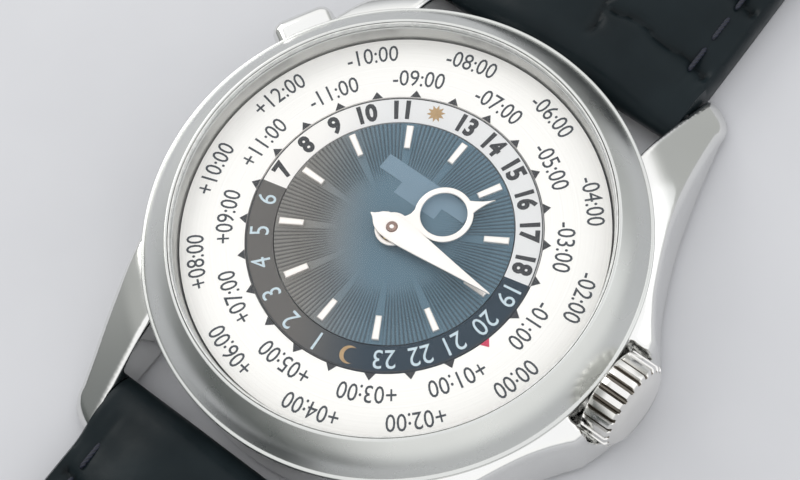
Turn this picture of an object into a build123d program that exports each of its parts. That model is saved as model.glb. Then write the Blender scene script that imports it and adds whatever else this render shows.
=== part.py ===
"""A world time wristwatch with a padded strap laid open, in millimetres.

12 o'clock is +Y, 3 o'clock is +X and the dial faces +Z. The origin is the centre of the flat back face.
"""

import math
import os

from build123d import *

os.makedirs("parts", exist_ok=True)

# Small round details and hidden rings have flat sides, which keeps the model light
small_round = 1.25
small_sides = 8
pin_round = 0.41
pin_sides = 6
ring_sides = 40
hidden_sides = 30
drum_sides = 24
loop_sides = 12
spiral_sides = 12

# Fits
running_gap = 0.05
turning_gap = 0.08
seat_gap = 0.02
slide_gap = 0.1
strap_gap = 0.25
overrun = 1.0

# Case back and its glass
back_flange_radius = 18.4
back_flange_height = 0.5
back_thread_radius = 17.6
back_thread_height = 0.8
back_window_radius = 13.9
back_glass_radius = 14.6
back_glass_thickness = 0.85
back_glass_recess = 0.4
back_gasket_radius = 17.45
back_gasket_width = 0.7
back_gasket_height = 0.3
key_notch_width = 2.4
key_notch_depth = 0.9
key_notches = 6

# Case middle
band_radius = 19.35
band_low = 0.5
band_high = 6.5
cavity_margin = 0.03
flank_draft = 15
lug_gap = 22.0
lug_tip_reach = 25.6
lug_tip_half = 13.9
lug_waist_half = 14.6
lug_waist_reach = 21.0
lug_root_half = 15.4
lug_root_reach = 17.1
flank_half = 16.35
flank_reach = 13.2
scallop_half = 17.9
scallop_reach = 8.9
guard_half = 21.3
guard_reach = 4.9
guard_peak_half = 22.25
left_scallop_half = 17.4
left_scallop_reach = 8.6
left_root_half = 15.5
wing_inset_half = 8.0
lug_tip_round = 1.7
round_corner_share = 0.3
crest_radius = 19.75
crest_drop = 0.15
shoulder_radius = 24.2
shoulder_height = 4.1
toe_radius = 28.0
toe_height = 1.1
toe_foot_radius = 28.6

# Bezel, glass and flange ring above the dial
bezel_radius = 19.75
bezel_rim_height = 0.25
bezel_lip_width = 0.16
bezel_lip_height = 9.3
glass_side_gap = 0.19
glass_low = 8.78
glass_thickness = 0.75
glass_proud = 0.25
glass_gasket_thickness = 0.14
rehaut_wall = 0.49
rehaut_flare = 4

# Movement
movement_radius = 13.6
movement_ring_wall = 3.0
movement_air = 0.3
bridge_thickness = 0.9
train_height = 1.5
plate_thickness = 1.8
motion_height = 1.15
ring_thickness = 0.45
bridge_margin = 0.4
bridge_wall = 1.0
bridge_split = 0.35
bridge_split_reach = 1.0
bridge_split_angle = 125
stem_slot_width = 2.3

# Crown side
crown_radius = 3.55
crown_inner = 20.05
crown_toothed = 2.5
crown_cap = 0.55
crown_teeth = 24
crown_tooth_depth = 0.32
crown_gap_share = 0.42
crown_flank_share = 0.7
crown_cap_taper = 35
crown_recess_radius = 3.95
crown_seat = 19.4
crown_bore_radius = 1.75
crown_bore_depth = 1.4
crown_seal_radius = 1.2
crown_pull = 1.0
tube_radius = 1.3
tube_bore = 0.75
tube_reach = 0.9
stem_radius = 0.55
stem_square = 0.63
winding_pinion_radius = 0.85
winding_pinion_length = 1.2
winding_pinion_start = 7.3
winding_pinion_teeth = 12
winding_pinion_tooth = 0.16

# Pusher at 10 o'clock
pusher_angle = 150
pusher_width = 5.2
pusher_height = 2.9
pusher_corner = 1.2
pusher_outer = 22.1
pusher_inner = 18.7
pusher_travel = 1.0
pusher_pocket_margin = 0.1
pusher_stem_radius = 0.6
pusher_stem_end = 15.4
pusher_sleeve_radius = 1.0
pusher_sleeve_length = 0.85

# Dial, rings, markers and hands
dial_radius = 9.22
day_ring_outer = 11.42
city_ring_inner = 11.5
city_ring_outer = 16.57
pipe_clearance_radius = 1.2
dial_foot_radius = 0.35
dial_foot_circle = 7.4
dial_foot_angle = 20
dial_feet = 2
marker_inner = 6.94
marker_outer = 8.94
marker_inner_width = 0.54
marker_outer_width = 0.66
marker_height = 0.3
marker_count = 12
hour_hand_low = 7.78
hour_hand_thickness = 0.2
hour_boss_radius = 1.38
hour_ring_centre = 4.03
hour_ring_radius = 2.27
hour_ring_bore = 1.81
hour_tip = 8.09
hour_tip_width = 1.15
hour_neck_width = 1.3
hour_angle = 37.5
minute_hand_gap = 0.17
minute_hand_thickness = 0.2
minute_boss_radius = 1.18
minute_tip = 9.35
minute_tail = 2.08
minute_half_width = 1.02
minute_tip_width = 0.1
minute_leaf_share = 0.97
minute_angle = 90.0
cap_radius = 0.42
cap_rise = 0.06

# Motion work under the dial
motion_module = 0.21872
hour_module = 0.19444
ring_module = 0.30556
cannon_teeth = 10
minute_wheel_teeth = 30
minute_pinion_teeth = 9
hour_wheel_teeth = 36
day_wheel_teeth = 30
day_pinion_teeth = 30
day_ring_teeth = 72
tooth_tip_share = 0.7
tooth_root_share = 0.95
wheel_thickness = 0.2
wheel_lift = 0.1
cannon_radius = 0.62
cannon_bore = 0.36
hour_pipe_radius = 1.02
hour_pipe_bore = 0.7
minute_wheel_angle = -60
day_wheel_angle = 115
post_radius = 0.35
guide_width = 0.85
guide_outer_radius = 11.42

# Going train seen through the back
train_module_barrel = 0.155
train_module_centre = 0.11
train_module_escape = 0.1
barrel_teeth = 72
centre_pinion_teeth = 9
centre_wheel_teeth = 64
third_pinion_teeth = 8
third_wheel_teeth = 54
third_wheel_radius = 3.0
third_wheel_drop = 0.7
fourth_wheel_teeth = 52
escape_pinion_teeth = 7
escape_teeth = 15
escape_wheel_radius = 1.75
escape_root_radius = 1.3
escape_lean_share = 0.45
escape_land_share = 0.12
arbor_radius = 0.16
plain_pinion_radius = 0.38
barrel_screw_degrees = (20, 95)
train_screw_degrees = (188, 245)
barrel_angle = 60
barrel_lift = 0.5
barrel_drum_share = 0.9
third_angle = 200
fourth_angle = 214
escape_angle = 145
balance_angle = 75
balance_distance = 5.6
balance_radius = 3.9
balance_rim_width = 0.42
balance_rim_height = 0.34
balance_level = 2.72
balance_arm_width = 0.5
balance_hub_radius = 0.6
balance_screws = 8
balance_screw_width = 0.26
balance_screw_length = 0.2
roller_radius = 0.6
roller_level = 3.2
balance_well_margin = 0.35
cock_angle = 100
cock_thickness = 0.6
cock_width = 2.6
cock_nose_radius = 1.35
hairspring_level = 2.38
hairspring_height = 0.14
hairspring_width = 0.07
hairspring_start = 0.75
hairspring_pitch = 0.34
hairspring_turns = 4
fork_reach = 2.35
fork_length = 1.9
fork_width = 0.5
fork_level = 3.2
fork_hub_radius = 0.42
pallet_reach = 0.9
pallet_half = 1.6
pallet_length = 0.42
pallet_width = 0.2
pallet_lean = 25
rotor_x = 5.4
rotor_y = -7.1
rotor_radius = 4.1
rotor_rim_width = 1.3
rotor_web_thickness = 0.35
rotor_level = 1.75
rotor_rim_height = 1.75
rotor_hub_radius = 1.1
rotor_post_radius = 0.7
rotor_well_margin = 0.25
rotor_sweep = 190
rotor_cap = 0.13
rotor_hub_height = 1.5
winding_module = 0.155
crown_wheel_teeth = 30
ratchet_teeth = 42
winding_wheel_thickness = 0.28
winding_recess = 0.12
winding_well_margin = 0.15
crown_wheel_core_radius = 0.85
jewel_radius = 0.62
jewel_proud = 0.03
screw_head_radius = 0.68
screw_head_height = 0.4
screw_shank_radius = 0.38
screw_inset = 0.9
screw_boss_radius = 0.8
screw_depth = 0.6

# Strap, keepers and buckle
bar_reach = 22.5
bar_height = 2.3
bar_radius = 0.75
bar_bore_depth = 1.1
bar_pivot_radius = 0.4
bar_shoulder = 0.35
loop_radius = 2.3
loop_bore_gap = 0.1
strap_tail_width = 18.0
short_length = 75.0
long_length = 115.0
hole_radius = 0.95
hole_count = 7
hole_spacing = 6.5
last_hole_from_tip = 24.0
tip_length = 9.5
tip_round_share = 0.66
buckle_loop_radius = 1.65
buckle_bar_radius = 0.7
keeper_lift = 1.2
buckle_wire = 2.2
buckle_window_length = 10.5
buckle_side_gap = 0.35
buckle_thickness = 2.4
tongue_width = 2.1
tongue_thickness = 1.1
tongue_slot_gap = 0.4
tongue_slot_reach = 4.5
buckle_corner = 2.6
keeper_wall = 0.9
keeper_width = 5.0
keeper_gap = 0.3
fixed_keeper_from_bar = 9.5
loose_keeper_from_bar = 21.0
loose_keeper_travel = 10.0
keeper_spare_height = 2.6

# Strap stations, as shares of the length and of the widths and heights named here
pad_height = 4.5
pad_edge_height = 3.0
tail_height = 2.6
tail_edge_height = 1.9
crown_flat_share = 0.55
long_stations_share = [0.0, 0.1, 0.22, 0.4, 0.65, 1.0]
long_pad_share = [1.0, 0.92, 0.62, 0.3, 0.08, 0.0]
short_stations_share = [0.0, 0.12, 0.3, 0.5, 0.72, 0.93, 1.0]
short_pad_share = [1.0, 0.94, 0.7, 0.4, 0.15, 0.03, 0.0]
short_lift_share = [0.0, 0.0, 0.25, 0.8, 1.0, 1.0, 0.0]

# Radii and heights that follow from the sizes above
bridge_radius = movement_radius - bridge_margin
screw_circle = bridge_radius - screw_inset
cavity_radius = movement_radius + movement_ring_wall + seat_gap
rehaut_bore_radius = cavity_radius + cavity_margin
bezel_bore_radius = rehaut_bore_radius + rehaut_wall
bezel_lip_radius = bezel_bore_radius + bezel_lip_width
glass_radius = bezel_bore_radius - glass_side_gap
back_thread_top = back_flange_height + back_thread_height
case_ledge = back_thread_top + back_gasket_height + seat_gap
bridge_low = back_thread_top + movement_air
bridge_high = bridge_low + bridge_thickness
plate_low = bridge_high + train_height
plate_high = plate_low + plate_thickness
ring_low = plate_high + motion_height
dial_top = ring_low + ring_thickness
stem_height = (plate_low + plate_high) / 2
minute_hand_low = hour_hand_low + hour_hand_thickness + minute_hand_gap
strap_width = lug_gap - 2 * strap_gap
stem_end = winding_pinion_start - crown_pull


def finish(piece, name):
    """Label a finished piece and write it."""
    piece.part.label = name
    export_step(piece.part, "parts/" + name + ".step")


def on_circle(radius, degrees):
    """The point at a radius and an angle from +X."""
    return (radius * math.cos(math.radians(degrees)), radius * math.sin(math.radians(degrees)))


def teeth_outline(teeth, module, first_tooth, inward=False):
    """The corners of a wheel's pointed teeth, the first one at the angle first_tooth."""
    pitch_radius = module * teeth / 2
    side = -1 if inward else 1
    tip = pitch_radius + side * tooth_tip_share * module
    root = pitch_radius - side * tooth_root_share * module
    corners = []
    for tooth in range(teeth):
        angle = first_tooth + tooth * 360 / teeth
        corners.append(on_circle(tip, angle))
        corners.append(on_circle(root, angle + 180 / teeth))
    return corners


def mesh_outside(teeth, first_tooth, direction, other_teeth):
    """The first tooth's angle on a wheel that meshes outside, in the given direction from the first."""
    return direction + 180 - (teeth * (first_tooth - direction) + 180) / other_teeth


def pitch_distance(module, teeth, other_teeth):
    """The distance between the centres of two wheels in mesh."""
    return module * (teeth + other_teeth) / 2


def toothed(at, low, thickness, outline, bore=0.0):
    """Add a toothed disc to the piece being built."""
    with BuildSketch(Plane.XY.offset(low)) as profile:
        with Locations(at):
            Polygon(*outline, align=None)
            if bore:
                round_face(bore, True, mode=Mode.SUBTRACT)
    extrude(profile.sketch, amount=thickness)


def round_face(radius, hollow=False, sides=0, mode=Mode.ADD):
    """Draw a circle, or a many sided one that stays inside its radius, or outside it for a hole."""
    if radius < pin_round:
        sides = pin_sides
    elif radius < small_round:
        sides = small_sides
    if sides:
        RegularPolygon(radius, sides, major_radius=not hollow, mode=mode)
    else:
        Circle(radius, mode=mode)


def disc(at, low, high, radius, bore=0.0, mode=Mode.ADD, sides=0):
    """Add a plain disc or sleeve, or cut one."""
    with BuildSketch(Plane.XY.offset(low)) as profile:
        with Locations(at):
            round_face(radius, mode == Mode.SUBTRACT, sides)
            if bore:
                round_face(bore, True, sides, Mode.SUBTRACT)
    extrude(profile.sketch, amount=high - low, mode=mode)


def rod(plane, at, length, radius, bore=0.0, mode=Mode.ADD):
    """Add a round rod or sleeve that stands on a plane, or cut one."""
    with BuildSketch(plane) as profile:
        with Locations(at):
            round_face(radius, mode == Mode.SUBTRACT)
            if bore:
                round_face(bore, True, mode=Mode.SUBTRACT)
    extrude(profile.sketch, amount=length, mode=mode)


def turned(corners):
    """Revolve a closed outline of radius and height pairs about the Z axis."""
    with BuildSketch(Plane.XZ) as profile:
        with BuildLine():
            Polyline(*corners, close=True)
        make_face()
    revolve(profile.sketch, axis=Axis.Z)


# Case middle, with four lugs and the crown's guards
right_lug = [
    (wing_inset_half, lug_tip_reach),
    (lug_tip_half - lug_tip_round, lug_tip_reach),
    (lug_tip_half - lug_tip_round * round_corner_share, lug_tip_reach - lug_tip_round * round_corner_share),
    (lug_tip_half, lug_tip_reach - lug_tip_round),
    (lug_waist_half, lug_waist_reach),
    (lug_root_half, lug_root_reach),
    (flank_half, flank_reach),
]
left_lug = [
    (-wing_inset_half, lug_tip_reach),
    (-lug_tip_half + lug_tip_round, lug_tip_reach),
    (-lug_tip_half + lug_tip_round * round_corner_share, lug_tip_reach - lug_tip_round * round_corner_share),
    (-lug_tip_half, lug_tip_reach - lug_tip_round),
    (-lug_waist_half, lug_waist_reach),
    (-left_root_half, lug_root_reach),
    (-left_scallop_half, left_scallop_reach),
]

pusher_plane = Plane(
    origin=on_circle(pusher_inner, pusher_angle) + (stem_height,),
    x_dir=on_circle(1, pusher_angle - 90) + (0,),
    z_dir=on_circle(1, pusher_angle) + (0,),
)

with BuildPart() as case_middle:
    # Drafted blocks of the two lugs on each side, with the hollows beside the crown's guards
    with BuildSketch(Plane.XY.offset(band_low)):
        with BuildLine():
            Polyline(*[(x, -y) for x, y in right_lug])
            ThreePointArc(
                (flank_half, -flank_reach),
                (scallop_half, -scallop_reach),
                (guard_half, -guard_reach),
            )
            ThreePointArc((guard_half, -guard_reach), (guard_peak_half, 0), (guard_half, guard_reach))
            ThreePointArc(
                (guard_half, guard_reach),
                (scallop_half, scallop_reach),
                (flank_half, flank_reach),
            )
            Polyline(*right_lug[::-1])
            Line((wing_inset_half, lug_tip_reach), (wing_inset_half, -lug_tip_reach))
        make_face()
        with BuildLine():
            Polyline(*left_lug, *[(x, -y) for x, y in reversed(left_lug)], close=True)
        make_face()
    extrude(amount=band_high - band_low, taper=flank_draft)
    with BuildSketch(Plane.XY):
        Rectangle(lug_gap, 2 * (lug_tip_reach + overrun))
    extrude(amount=band_high + overrun, mode=Mode.SUBTRACT)
    disc((0, 0), band_low, band_high, band_radius)
    with BuildSketch(Plane.XZ):
        with BuildLine():
            Polyline(
                (0, -overrun),
                (0, band_high),
                (crest_radius - crest_drop, band_high),
                (crest_radius, band_high - crest_drop),
                (shoulder_radius, shoulder_height),
                (toe_radius, toe_height),
                (toe_foot_radius, -overrun),
                close=True,
            )
        make_face()
    revolve(axis=Axis.Z, mode=Mode.INTERSECT)
    disc((0, 0), band_low, band_high + overrun, cavity_radius, mode=Mode.SUBTRACT, sides=ring_sides)
    disc((0, 0), band_low, case_ledge, back_thread_radius + seat_gap, mode=Mode.SUBTRACT, sides=ring_sides)
    # Recess and bore for the crown
    with BuildSketch(Plane.YZ.offset(crown_seat)):
        with Locations((0, stem_height)):
            round_face(crown_recess_radius, True, hidden_sides)
    extrude(amount=lug_tip_reach, mode=Mode.SUBTRACT)
    rod(
        Plane.YZ.offset(cavity_radius - overrun),
        (0, stem_height),
        crown_seat,
        tube_radius,
        mode=Mode.SUBTRACT,
    )
    # Pocket and bore for the pusher
    with BuildSketch(pusher_plane.offset(-pusher_travel - pusher_pocket_margin)):
        RectangleRounded(
            pusher_width + 2 * pusher_pocket_margin,
            pusher_height + 2 * pusher_pocket_margin,
            pusher_corner + pusher_pocket_margin,
        )
    extrude(amount=lug_tip_reach, mode=Mode.SUBTRACT)
    rod(
        pusher_plane,
        (0, 0),
        cavity_radius - pusher_inner - overrun,
        pusher_sleeve_radius,
        mode=Mode.SUBTRACT,
    )
    # Blind holes for the spring bars
    for end in (1, -1):
        hole_start = Plane.YZ.offset(-lug_gap / 2 - bar_bore_depth)
        hole_length = lug_gap + 2 * bar_bore_depth
        rod(
            hole_start,
            (end * bar_reach, bar_height),
            hole_length,
            bar_pivot_radius + seat_gap,
            mode=Mode.SUBTRACT,
        )
finish(case_middle, "case_middle")

# Case back with its glass and gasket
with BuildPart() as case_back:
    disc((0, 0), 0, back_flange_height - seat_gap, back_flange_radius)
    disc((0, 0), 0, back_thread_top, back_thread_radius, sides=ring_sides)
    disc((0, 0), 0, back_flange_height, back_window_radius, mode=Mode.SUBTRACT, sides=ring_sides)
    seat_radius = back_glass_radius + seat_gap
    disc(
        (0, 0),
        back_glass_recess + seat_gap,
        back_thread_top,
        seat_radius,
        mode=Mode.SUBTRACT,
        sides=ring_sides,
    )
    with BuildSketch(Plane.XY):
        with PolarLocations(back_flange_radius, key_notches):
            Rectangle(key_notch_depth, key_notch_width)
    extrude(amount=back_flange_height, mode=Mode.SUBTRACT)
finish(case_back, "case_back")

with BuildPart() as back_crystal:
    glass_back = back_glass_recess + 2 * seat_gap
    disc((0, 0), glass_back, back_glass_recess + back_glass_thickness, back_glass_radius, sides=ring_sides)
finish(back_crystal, "back_crystal")

with BuildPart() as back_gasket:
    gasket_low = back_thread_top + seat_gap
    gasket_bore = back_gasket_radius - back_gasket_width
    disc((0, 0), gasket_low, case_ledge - seat_gap, back_gasket_radius, gasket_bore, sides=hidden_sides)
finish(back_gasket, "back_gasket")

# Bezel
bezel_low = band_high + seat_gap
with BuildPart() as bezel:
    turned(
        [
            (0, bezel_lip_height),
            (0, bezel_low),
            (bezel_radius, bezel_low),
            (bezel_radius, bezel_low + bezel_rim_height),
            (bezel_lip_radius, bezel_lip_height),
        ]
    )
    disc(
        (0, 0),
        band_high,
        bezel_lip_height + overrun,
        bezel_bore_radius,
        mode=Mode.SUBTRACT,
        sides=ring_sides,
    )
finish(bezel, "bezel")

# Glass over the dial, its gasket and the flange ring it stands on
with BuildPart() as crystal:
    disc((0, 0), glass_low, glass_low + glass_thickness, glass_radius, sides=ring_sides)
finish(crystal, "crystal")

with BuildPart() as crystal_gasket:
    gasket_outer = glass_radius + glass_gasket_thickness
    glass_top = glass_low + glass_thickness
    gasket_high = glass_top - glass_proud
    disc((0, 0), glass_low, gasket_high, gasket_outer, glass_radius + seat_gap, sides=ring_sides)
finish(crystal_gasket, "crystal_gasket")

with BuildPart() as rehaut:
    disc((0, 0), bezel_low, glass_low - seat_gap, bezel_bore_radius - seat_gap, sides=ring_sides)
    with BuildSketch(Plane.XY.offset(bezel_low)):
        round_face(rehaut_bore_radius, True, ring_sides)
    extrude(amount=glass_low - bezel_low, taper=-rehaut_flare, mode=Mode.SUBTRACT)
finish(rehaut, "rehaut")

# Crown, winding stem and what they turn in
crown_outer = crown_inner + crown_toothed
tooth_corners = []
for tooth in range(crown_teeth):
    first = tooth * 360 / crown_teeth
    step = 360 / crown_teeth
    root = crown_radius - crown_tooth_depth
    tooth_corners.append(on_circle(crown_radius, first))
    tooth_corners.append(on_circle(crown_radius, first + step * (1 - crown_gap_share)))
    tooth_corners.append(on_circle(root, first + step * (1 - crown_gap_share * crown_flank_share)))
    tooth_corners.append(on_circle(root, first + step * (1 - crown_gap_share * (1 - crown_flank_share))))

with BuildPart() as crown:
    with BuildSketch(Plane.YZ.offset(crown_inner)):
        with Locations((0, stem_height)):
            Polygon(*tooth_corners, align=None)
    extrude(amount=crown_toothed)
    with BuildSketch(Plane.YZ.offset(crown_outer)):
        with Locations((0, stem_height)):
            round_face(crown_radius - crown_tooth_depth, sides=drum_sides)
    extrude(amount=crown_cap, taper=crown_cap_taper)
    with BuildSketch(Plane.YZ.offset(crown_inner)):
        with Locations((0, stem_height)):
            round_face(crown_bore_radius, True, drum_sides)
    extrude(amount=crown_bore_depth, mode=Mode.SUBTRACT)
finish(crown, "crown")

pinion_end = winding_pinion_start + winding_pinion_length
with BuildPart() as winding_stem:
    round_start = pinion_end + running_gap
    rod(
        Plane.YZ.offset(round_start),
        (0, stem_height),
        crown_inner + crown_bore_depth - round_start,
        stem_radius,
    )
    with BuildSketch(Plane.YZ.offset(stem_end)):
        with Locations((0, stem_height)):
            Rectangle(stem_square, stem_square)
    extrude(amount=round_start - stem_end)
finish(winding_stem, "winding_stem")

with BuildPart() as crown_tube:
    tube_start = cavity_radius + seat_gap
    tube_length = crown_inner + tube_reach - tube_start
    rod(Plane.YZ.offset(tube_start), (0, stem_height), tube_length, tube_radius - seat_gap, tube_bore)
finish(crown_tube, "crown_tube")

with BuildPart() as crown_gasket:
    seal_start = tube_reach + running_gap
    seal_plane = Plane.YZ.offset(crown_inner + seal_start)
    seal_bore = stem_radius + seat_gap
    rod(seal_plane, (0, stem_height), crown_bore_depth - seal_start - seat_gap, crown_seal_radius, seal_bore)
finish(crown_gasket, "crown_gasket")

pinion_corners = []
for tooth in range(winding_pinion_teeth):
    pinion_corners.append(on_circle(winding_pinion_radius, tooth * 360 / winding_pinion_teeth))
    pinion_corners.append(
        on_circle(winding_pinion_radius - winding_pinion_tooth, (tooth + 0.5) * 360 / winding_pinion_teeth)
    )
with BuildPart() as winding_pinion:
    with BuildSketch(Plane.YZ.offset(winding_pinion_start)):
        with Locations((0, stem_height)):
            Polygon(*pinion_corners, align=None)
            Rectangle(stem_square + running_gap, stem_square + running_gap, mode=Mode.SUBTRACT)
    extrude(amount=winding_pinion_length)
finish(winding_pinion, "winding_pinion")

# Pusher at 10 o'clock with its sleeve and return spring
with BuildPart() as pusher:
    with BuildSketch(pusher_plane):
        RectangleRounded(pusher_width, pusher_height, pusher_corner)
    extrude(amount=pusher_outer - pusher_inner)
    rod(pusher_plane, (0, 0), pusher_stem_end - pusher_inner, pusher_stem_radius)
finish(pusher, "pusher")

with BuildPart() as pusher_sleeve:
    sleeve_plane = pusher_plane.offset(cavity_radius + seat_gap - pusher_inner)
    sleeve_bore = pusher_stem_radius + running_gap
    rod(sleeve_plane, (0, 0), pusher_sleeve_length, pusher_sleeve_radius - seat_gap, sleeve_bore)
finish(pusher_sleeve, "pusher_sleeve")

# Ring that holds the movement in the case, with slots for the stem and the pusher
with BuildPart() as movement_ring:
    ring_outer = movement_radius + movement_ring_wall
    ring_bore = movement_radius + seat_gap
    disc((0, 0), case_ledge + seat_gap, ring_low - seat_gap, ring_outer, ring_bore, sides=hidden_sides)
    with BuildSketch(Plane.YZ.offset(movement_radius - overrun)):
        with Locations((0, stem_height)):
            Rectangle(2 * tube_bore, 2 * tube_bore)
    extrude(amount=cavity_radius, mode=Mode.SUBTRACT)
    with BuildSketch(pusher_plane):
        Rectangle(2 * pusher_stem_radius + slide_gap, 2 * pusher_stem_radius + slide_gap)
    extrude(amount=movement_radius - pusher_inner - overrun, mode=Mode.SUBTRACT)
finish(movement_ring, "movement_ring")

# Places of the train, worked out from the wheels that mesh
def beside(start, distance, degrees):
    """The point at a distance and an angle from another."""
    step = on_circle(distance, degrees)
    return (start[0] + step[0], start[1] + step[1])


def tipped_module(radius, teeth):
    """The module that brings a wheel's tips to a radius."""
    return 2 * radius / (teeth + 2 * tooth_tip_share)


barrel_at = on_circle(pitch_distance(train_module_barrel, barrel_teeth, centre_pinion_teeth), barrel_angle)
third_at = on_circle(
    pitch_distance(train_module_centre, centre_wheel_teeth, third_pinion_teeth),
    third_angle,
)
fourth_at = beside(third_at, third_wheel_radius + turning_gap + plain_pinion_radius, fourth_angle)
escape_distance = pitch_distance(train_module_escape, fourth_wheel_teeth, escape_pinion_teeth)
escape_at = beside(fourth_at, escape_distance, escape_angle)
balance_at = beside(escape_at, balance_distance, balance_angle)
fork_at = beside(escape_at, fork_reach, balance_angle)
rotor_at = (rotor_x, rotor_y)
winding_distance = pitch_distance(winding_module, crown_wheel_teeth, ratchet_teeth)
crown_wheel_at = (barrel_at[0] + math.sqrt(winding_distance**2 - barrel_at[1] ** 2), 0)
winding_angle = math.degrees(math.atan2(crown_wheel_at[1] - barrel_at[1], crown_wheel_at[0] - barrel_at[0]))
ratchet_radius = winding_module * ratchet_teeth / 2
crown_wheel_radius = winding_module * crown_wheel_teeth / 2
barrel_radius = train_module_barrel * barrel_teeth / 2
barrel_low = bridge_high + barrel_lift
barrel_high = plate_low + barrel_lift
well_radius = balance_radius + balance_well_margin
rotor_well = rotor_radius + rotor_well_margin
cock_screw_at = beside(balance_at, well_radius + screw_boss_radius + slide_gap, cock_angle)
barrel_screws = [on_circle(screw_circle, degrees) for degrees in barrel_screw_degrees]
train_screws = [on_circle(screw_circle, degrees) for degrees in train_screw_degrees]
train_jewels = [third_at, fourth_at, escape_at]
jewel_bore = arbor_radius + running_gap
arbor_low = bridge_low + running_gap
arbor_high = plate_low + plate_thickness / 2

# Main plate with the seats of the train, the slot of the stem and the posts of the motion work
motion_low = plate_high + running_gap
hour_wheel_low = motion_low + 2 * wheel_thickness
ring_teeth_low = hour_wheel_low + wheel_thickness + wheel_lift
motion_distance = pitch_distance(motion_module, cannon_teeth, minute_wheel_teeth)
day_distance = pitch_distance(hour_module, hour_wheel_teeth, day_wheel_teeth)
minute_wheel_at = on_circle(motion_distance, minute_wheel_angle)
day_wheel_at = on_circle(day_distance, day_wheel_angle)
with BuildPart() as main_plate:
    disc((0, 0), plate_low, plate_high, movement_radius, sides=hidden_sides)
    recess_radius = barrel_radius + train_module_barrel + turning_gap
    recess_low = plate_low - overrun
    disc(
        barrel_at,
        recess_low,
        barrel_high + turning_gap,
        recess_radius,
        mode=Mode.SUBTRACT,
        sides=drum_sides,
    )
    with BuildSketch(Plane.XY.offset(plate_low)):
        with Locations((movement_radius, 0)):
            Rectangle(2 * (movement_radius - stem_end) + 2 * slide_gap, stem_slot_width)
    extrude(amount=plate_thickness, mode=Mode.SUBTRACT)
    disc((0, 0), plate_low - overrun, plate_high + overrun, cannon_bore + running_gap, mode=Mode.SUBTRACT)
    disc(barrel_at, plate_low, arbor_high, post_radius + running_gap, mode=Mode.SUBTRACT)
    for place in train_jewels + [fork_at, balance_at]:
        disc(place, plate_low - overrun, arbor_high, jewel_bore, mode=Mode.SUBTRACT)
    for place in barrel_screws + train_screws + [cock_screw_at]:
        disc(
            place,
            plate_low - overrun,
            plate_low + screw_depth,
            screw_shank_radius + seat_gap,
            mode=Mode.SUBTRACT,
        )
    for place in (minute_wheel_at, day_wheel_at):
        disc(place, plate_high - seat_gap, ring_low - 2 * wheel_lift, post_radius)
    disc(rotor_at, rotor_level + rotor_cap + running_gap, plate_low + seat_gap, rotor_post_radius)
finish(main_plate, "main_plate")


# Bridges: one sheet over the train, open at the rotor, the balance and its cock, and split in two
def open_well(at, radius):
    """Cut a round well that is open to the edge of the movement."""
    disc(at, bridge_low - overrun, plate_low, radius, mode=Mode.SUBTRACT, sides=drum_sides)
    direction = math.degrees(math.atan2(at[1], at[0]))
    outward = Plane(
        origin=at + (bridge_low - overrun,),
        x_dir=on_circle(1, direction) + (0,),
        z_dir=(0, 0, 1),
    )
    with BuildSketch(outward) as opening:
        with Locations((movement_radius / 2, 0)):
            Rectangle(movement_radius, 2 * radius)
    extrude(opening.sketch, amount=plate_low, mode=Mode.SUBTRACT)


def screw_holes(places):
    """Cut the holes and sunk seats of bridge screws."""
    for place in places:
        seat_high = bridge_low + screw_head_height + seat_gap
        disc(place, bridge_low - overrun, seat_high, screw_head_radius + running_gap, mode=Mode.SUBTRACT)
        disc(place, bridge_low - overrun, plate_low, screw_shank_radius + seat_gap, mode=Mode.SUBTRACT)


cock_plane = Plane(
    origin=balance_at + (bridge_low,),
    x_dir=on_circle(1, cock_angle) + (0,),
    z_dir=(0, 0, 1),
)


def bridge_sheet(screws, jewels):
    """Add the sheet of a bridge with its rim, screw bosses, wells and jewel holes."""
    disc((0, 0), bridge_low, bridge_high, bridge_radius, sides=hidden_sides)
    rim_bore = bridge_radius - bridge_wall
    disc((0, 0), bridge_high, plate_low - seat_gap, bridge_radius, rim_bore, sides=hidden_sides)
    for place in screws:
        disc(place, bridge_high, plate_low - seat_gap, screw_boss_radius)
    open_well(rotor_at, rotor_well)
    open_well(balance_at, well_radius)
    with BuildSketch(cock_plane.offset(-overrun)) as cock_slot:
        with Locations((movement_radius / 2, 0)):
            Rectangle(movement_radius, cock_width + 2 * slide_gap)
    extrude(cock_slot.sketch, amount=plate_low, mode=Mode.SUBTRACT)
    screw_holes(screws)
    for place in jewels:
        disc(place, bridge_low - overrun, bridge_high + overrun, jewel_radius + seat_gap, mode=Mode.SUBTRACT)


def beyond_split(side):
    """Cut away one side of the line between the two bridges."""
    split_plane = Plane(
        origin=(0, 0, bridge_low - overrun),
        x_dir=on_circle(1, bridge_split_angle) + (0,),
        z_dir=(0, 0, 1),
    )
    edge = bridge_split_reach + bridge_split * (1 - side) / 2
    with BuildSketch(split_plane) as beyond:
        with Locations((0, edge + side * movement_radius)):
            Rectangle(4 * movement_radius, 2 * movement_radius)
    extrude(beyond.sketch, amount=plate_low, mode=Mode.SUBTRACT)


winding_low = bridge_low + winding_recess / 2
winding_high = winding_low + winding_wheel_thickness
with BuildPart() as barrel_bridge:
    bridge_sheet(barrel_screws, [(0, 0)])
    beyond_split(1)
    for place, radius in ((barrel_at, ratchet_radius), (crown_wheel_at, crown_wheel_radius)):
        recess = radius + winding_module + winding_well_margin
        floor = winding_high + winding_recess / 2
        disc(place, bridge_low - overrun, floor, recess, mode=Mode.SUBTRACT, sides=drum_sides)
    disc(crown_wheel_at, bridge_low, winding_high + winding_recess, crown_wheel_core_radius)
    disc(barrel_at, bridge_low, bridge_high + overrun, post_radius + running_gap, mode=Mode.SUBTRACT)
finish(barrel_bridge, "barrel_bridge")

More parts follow.
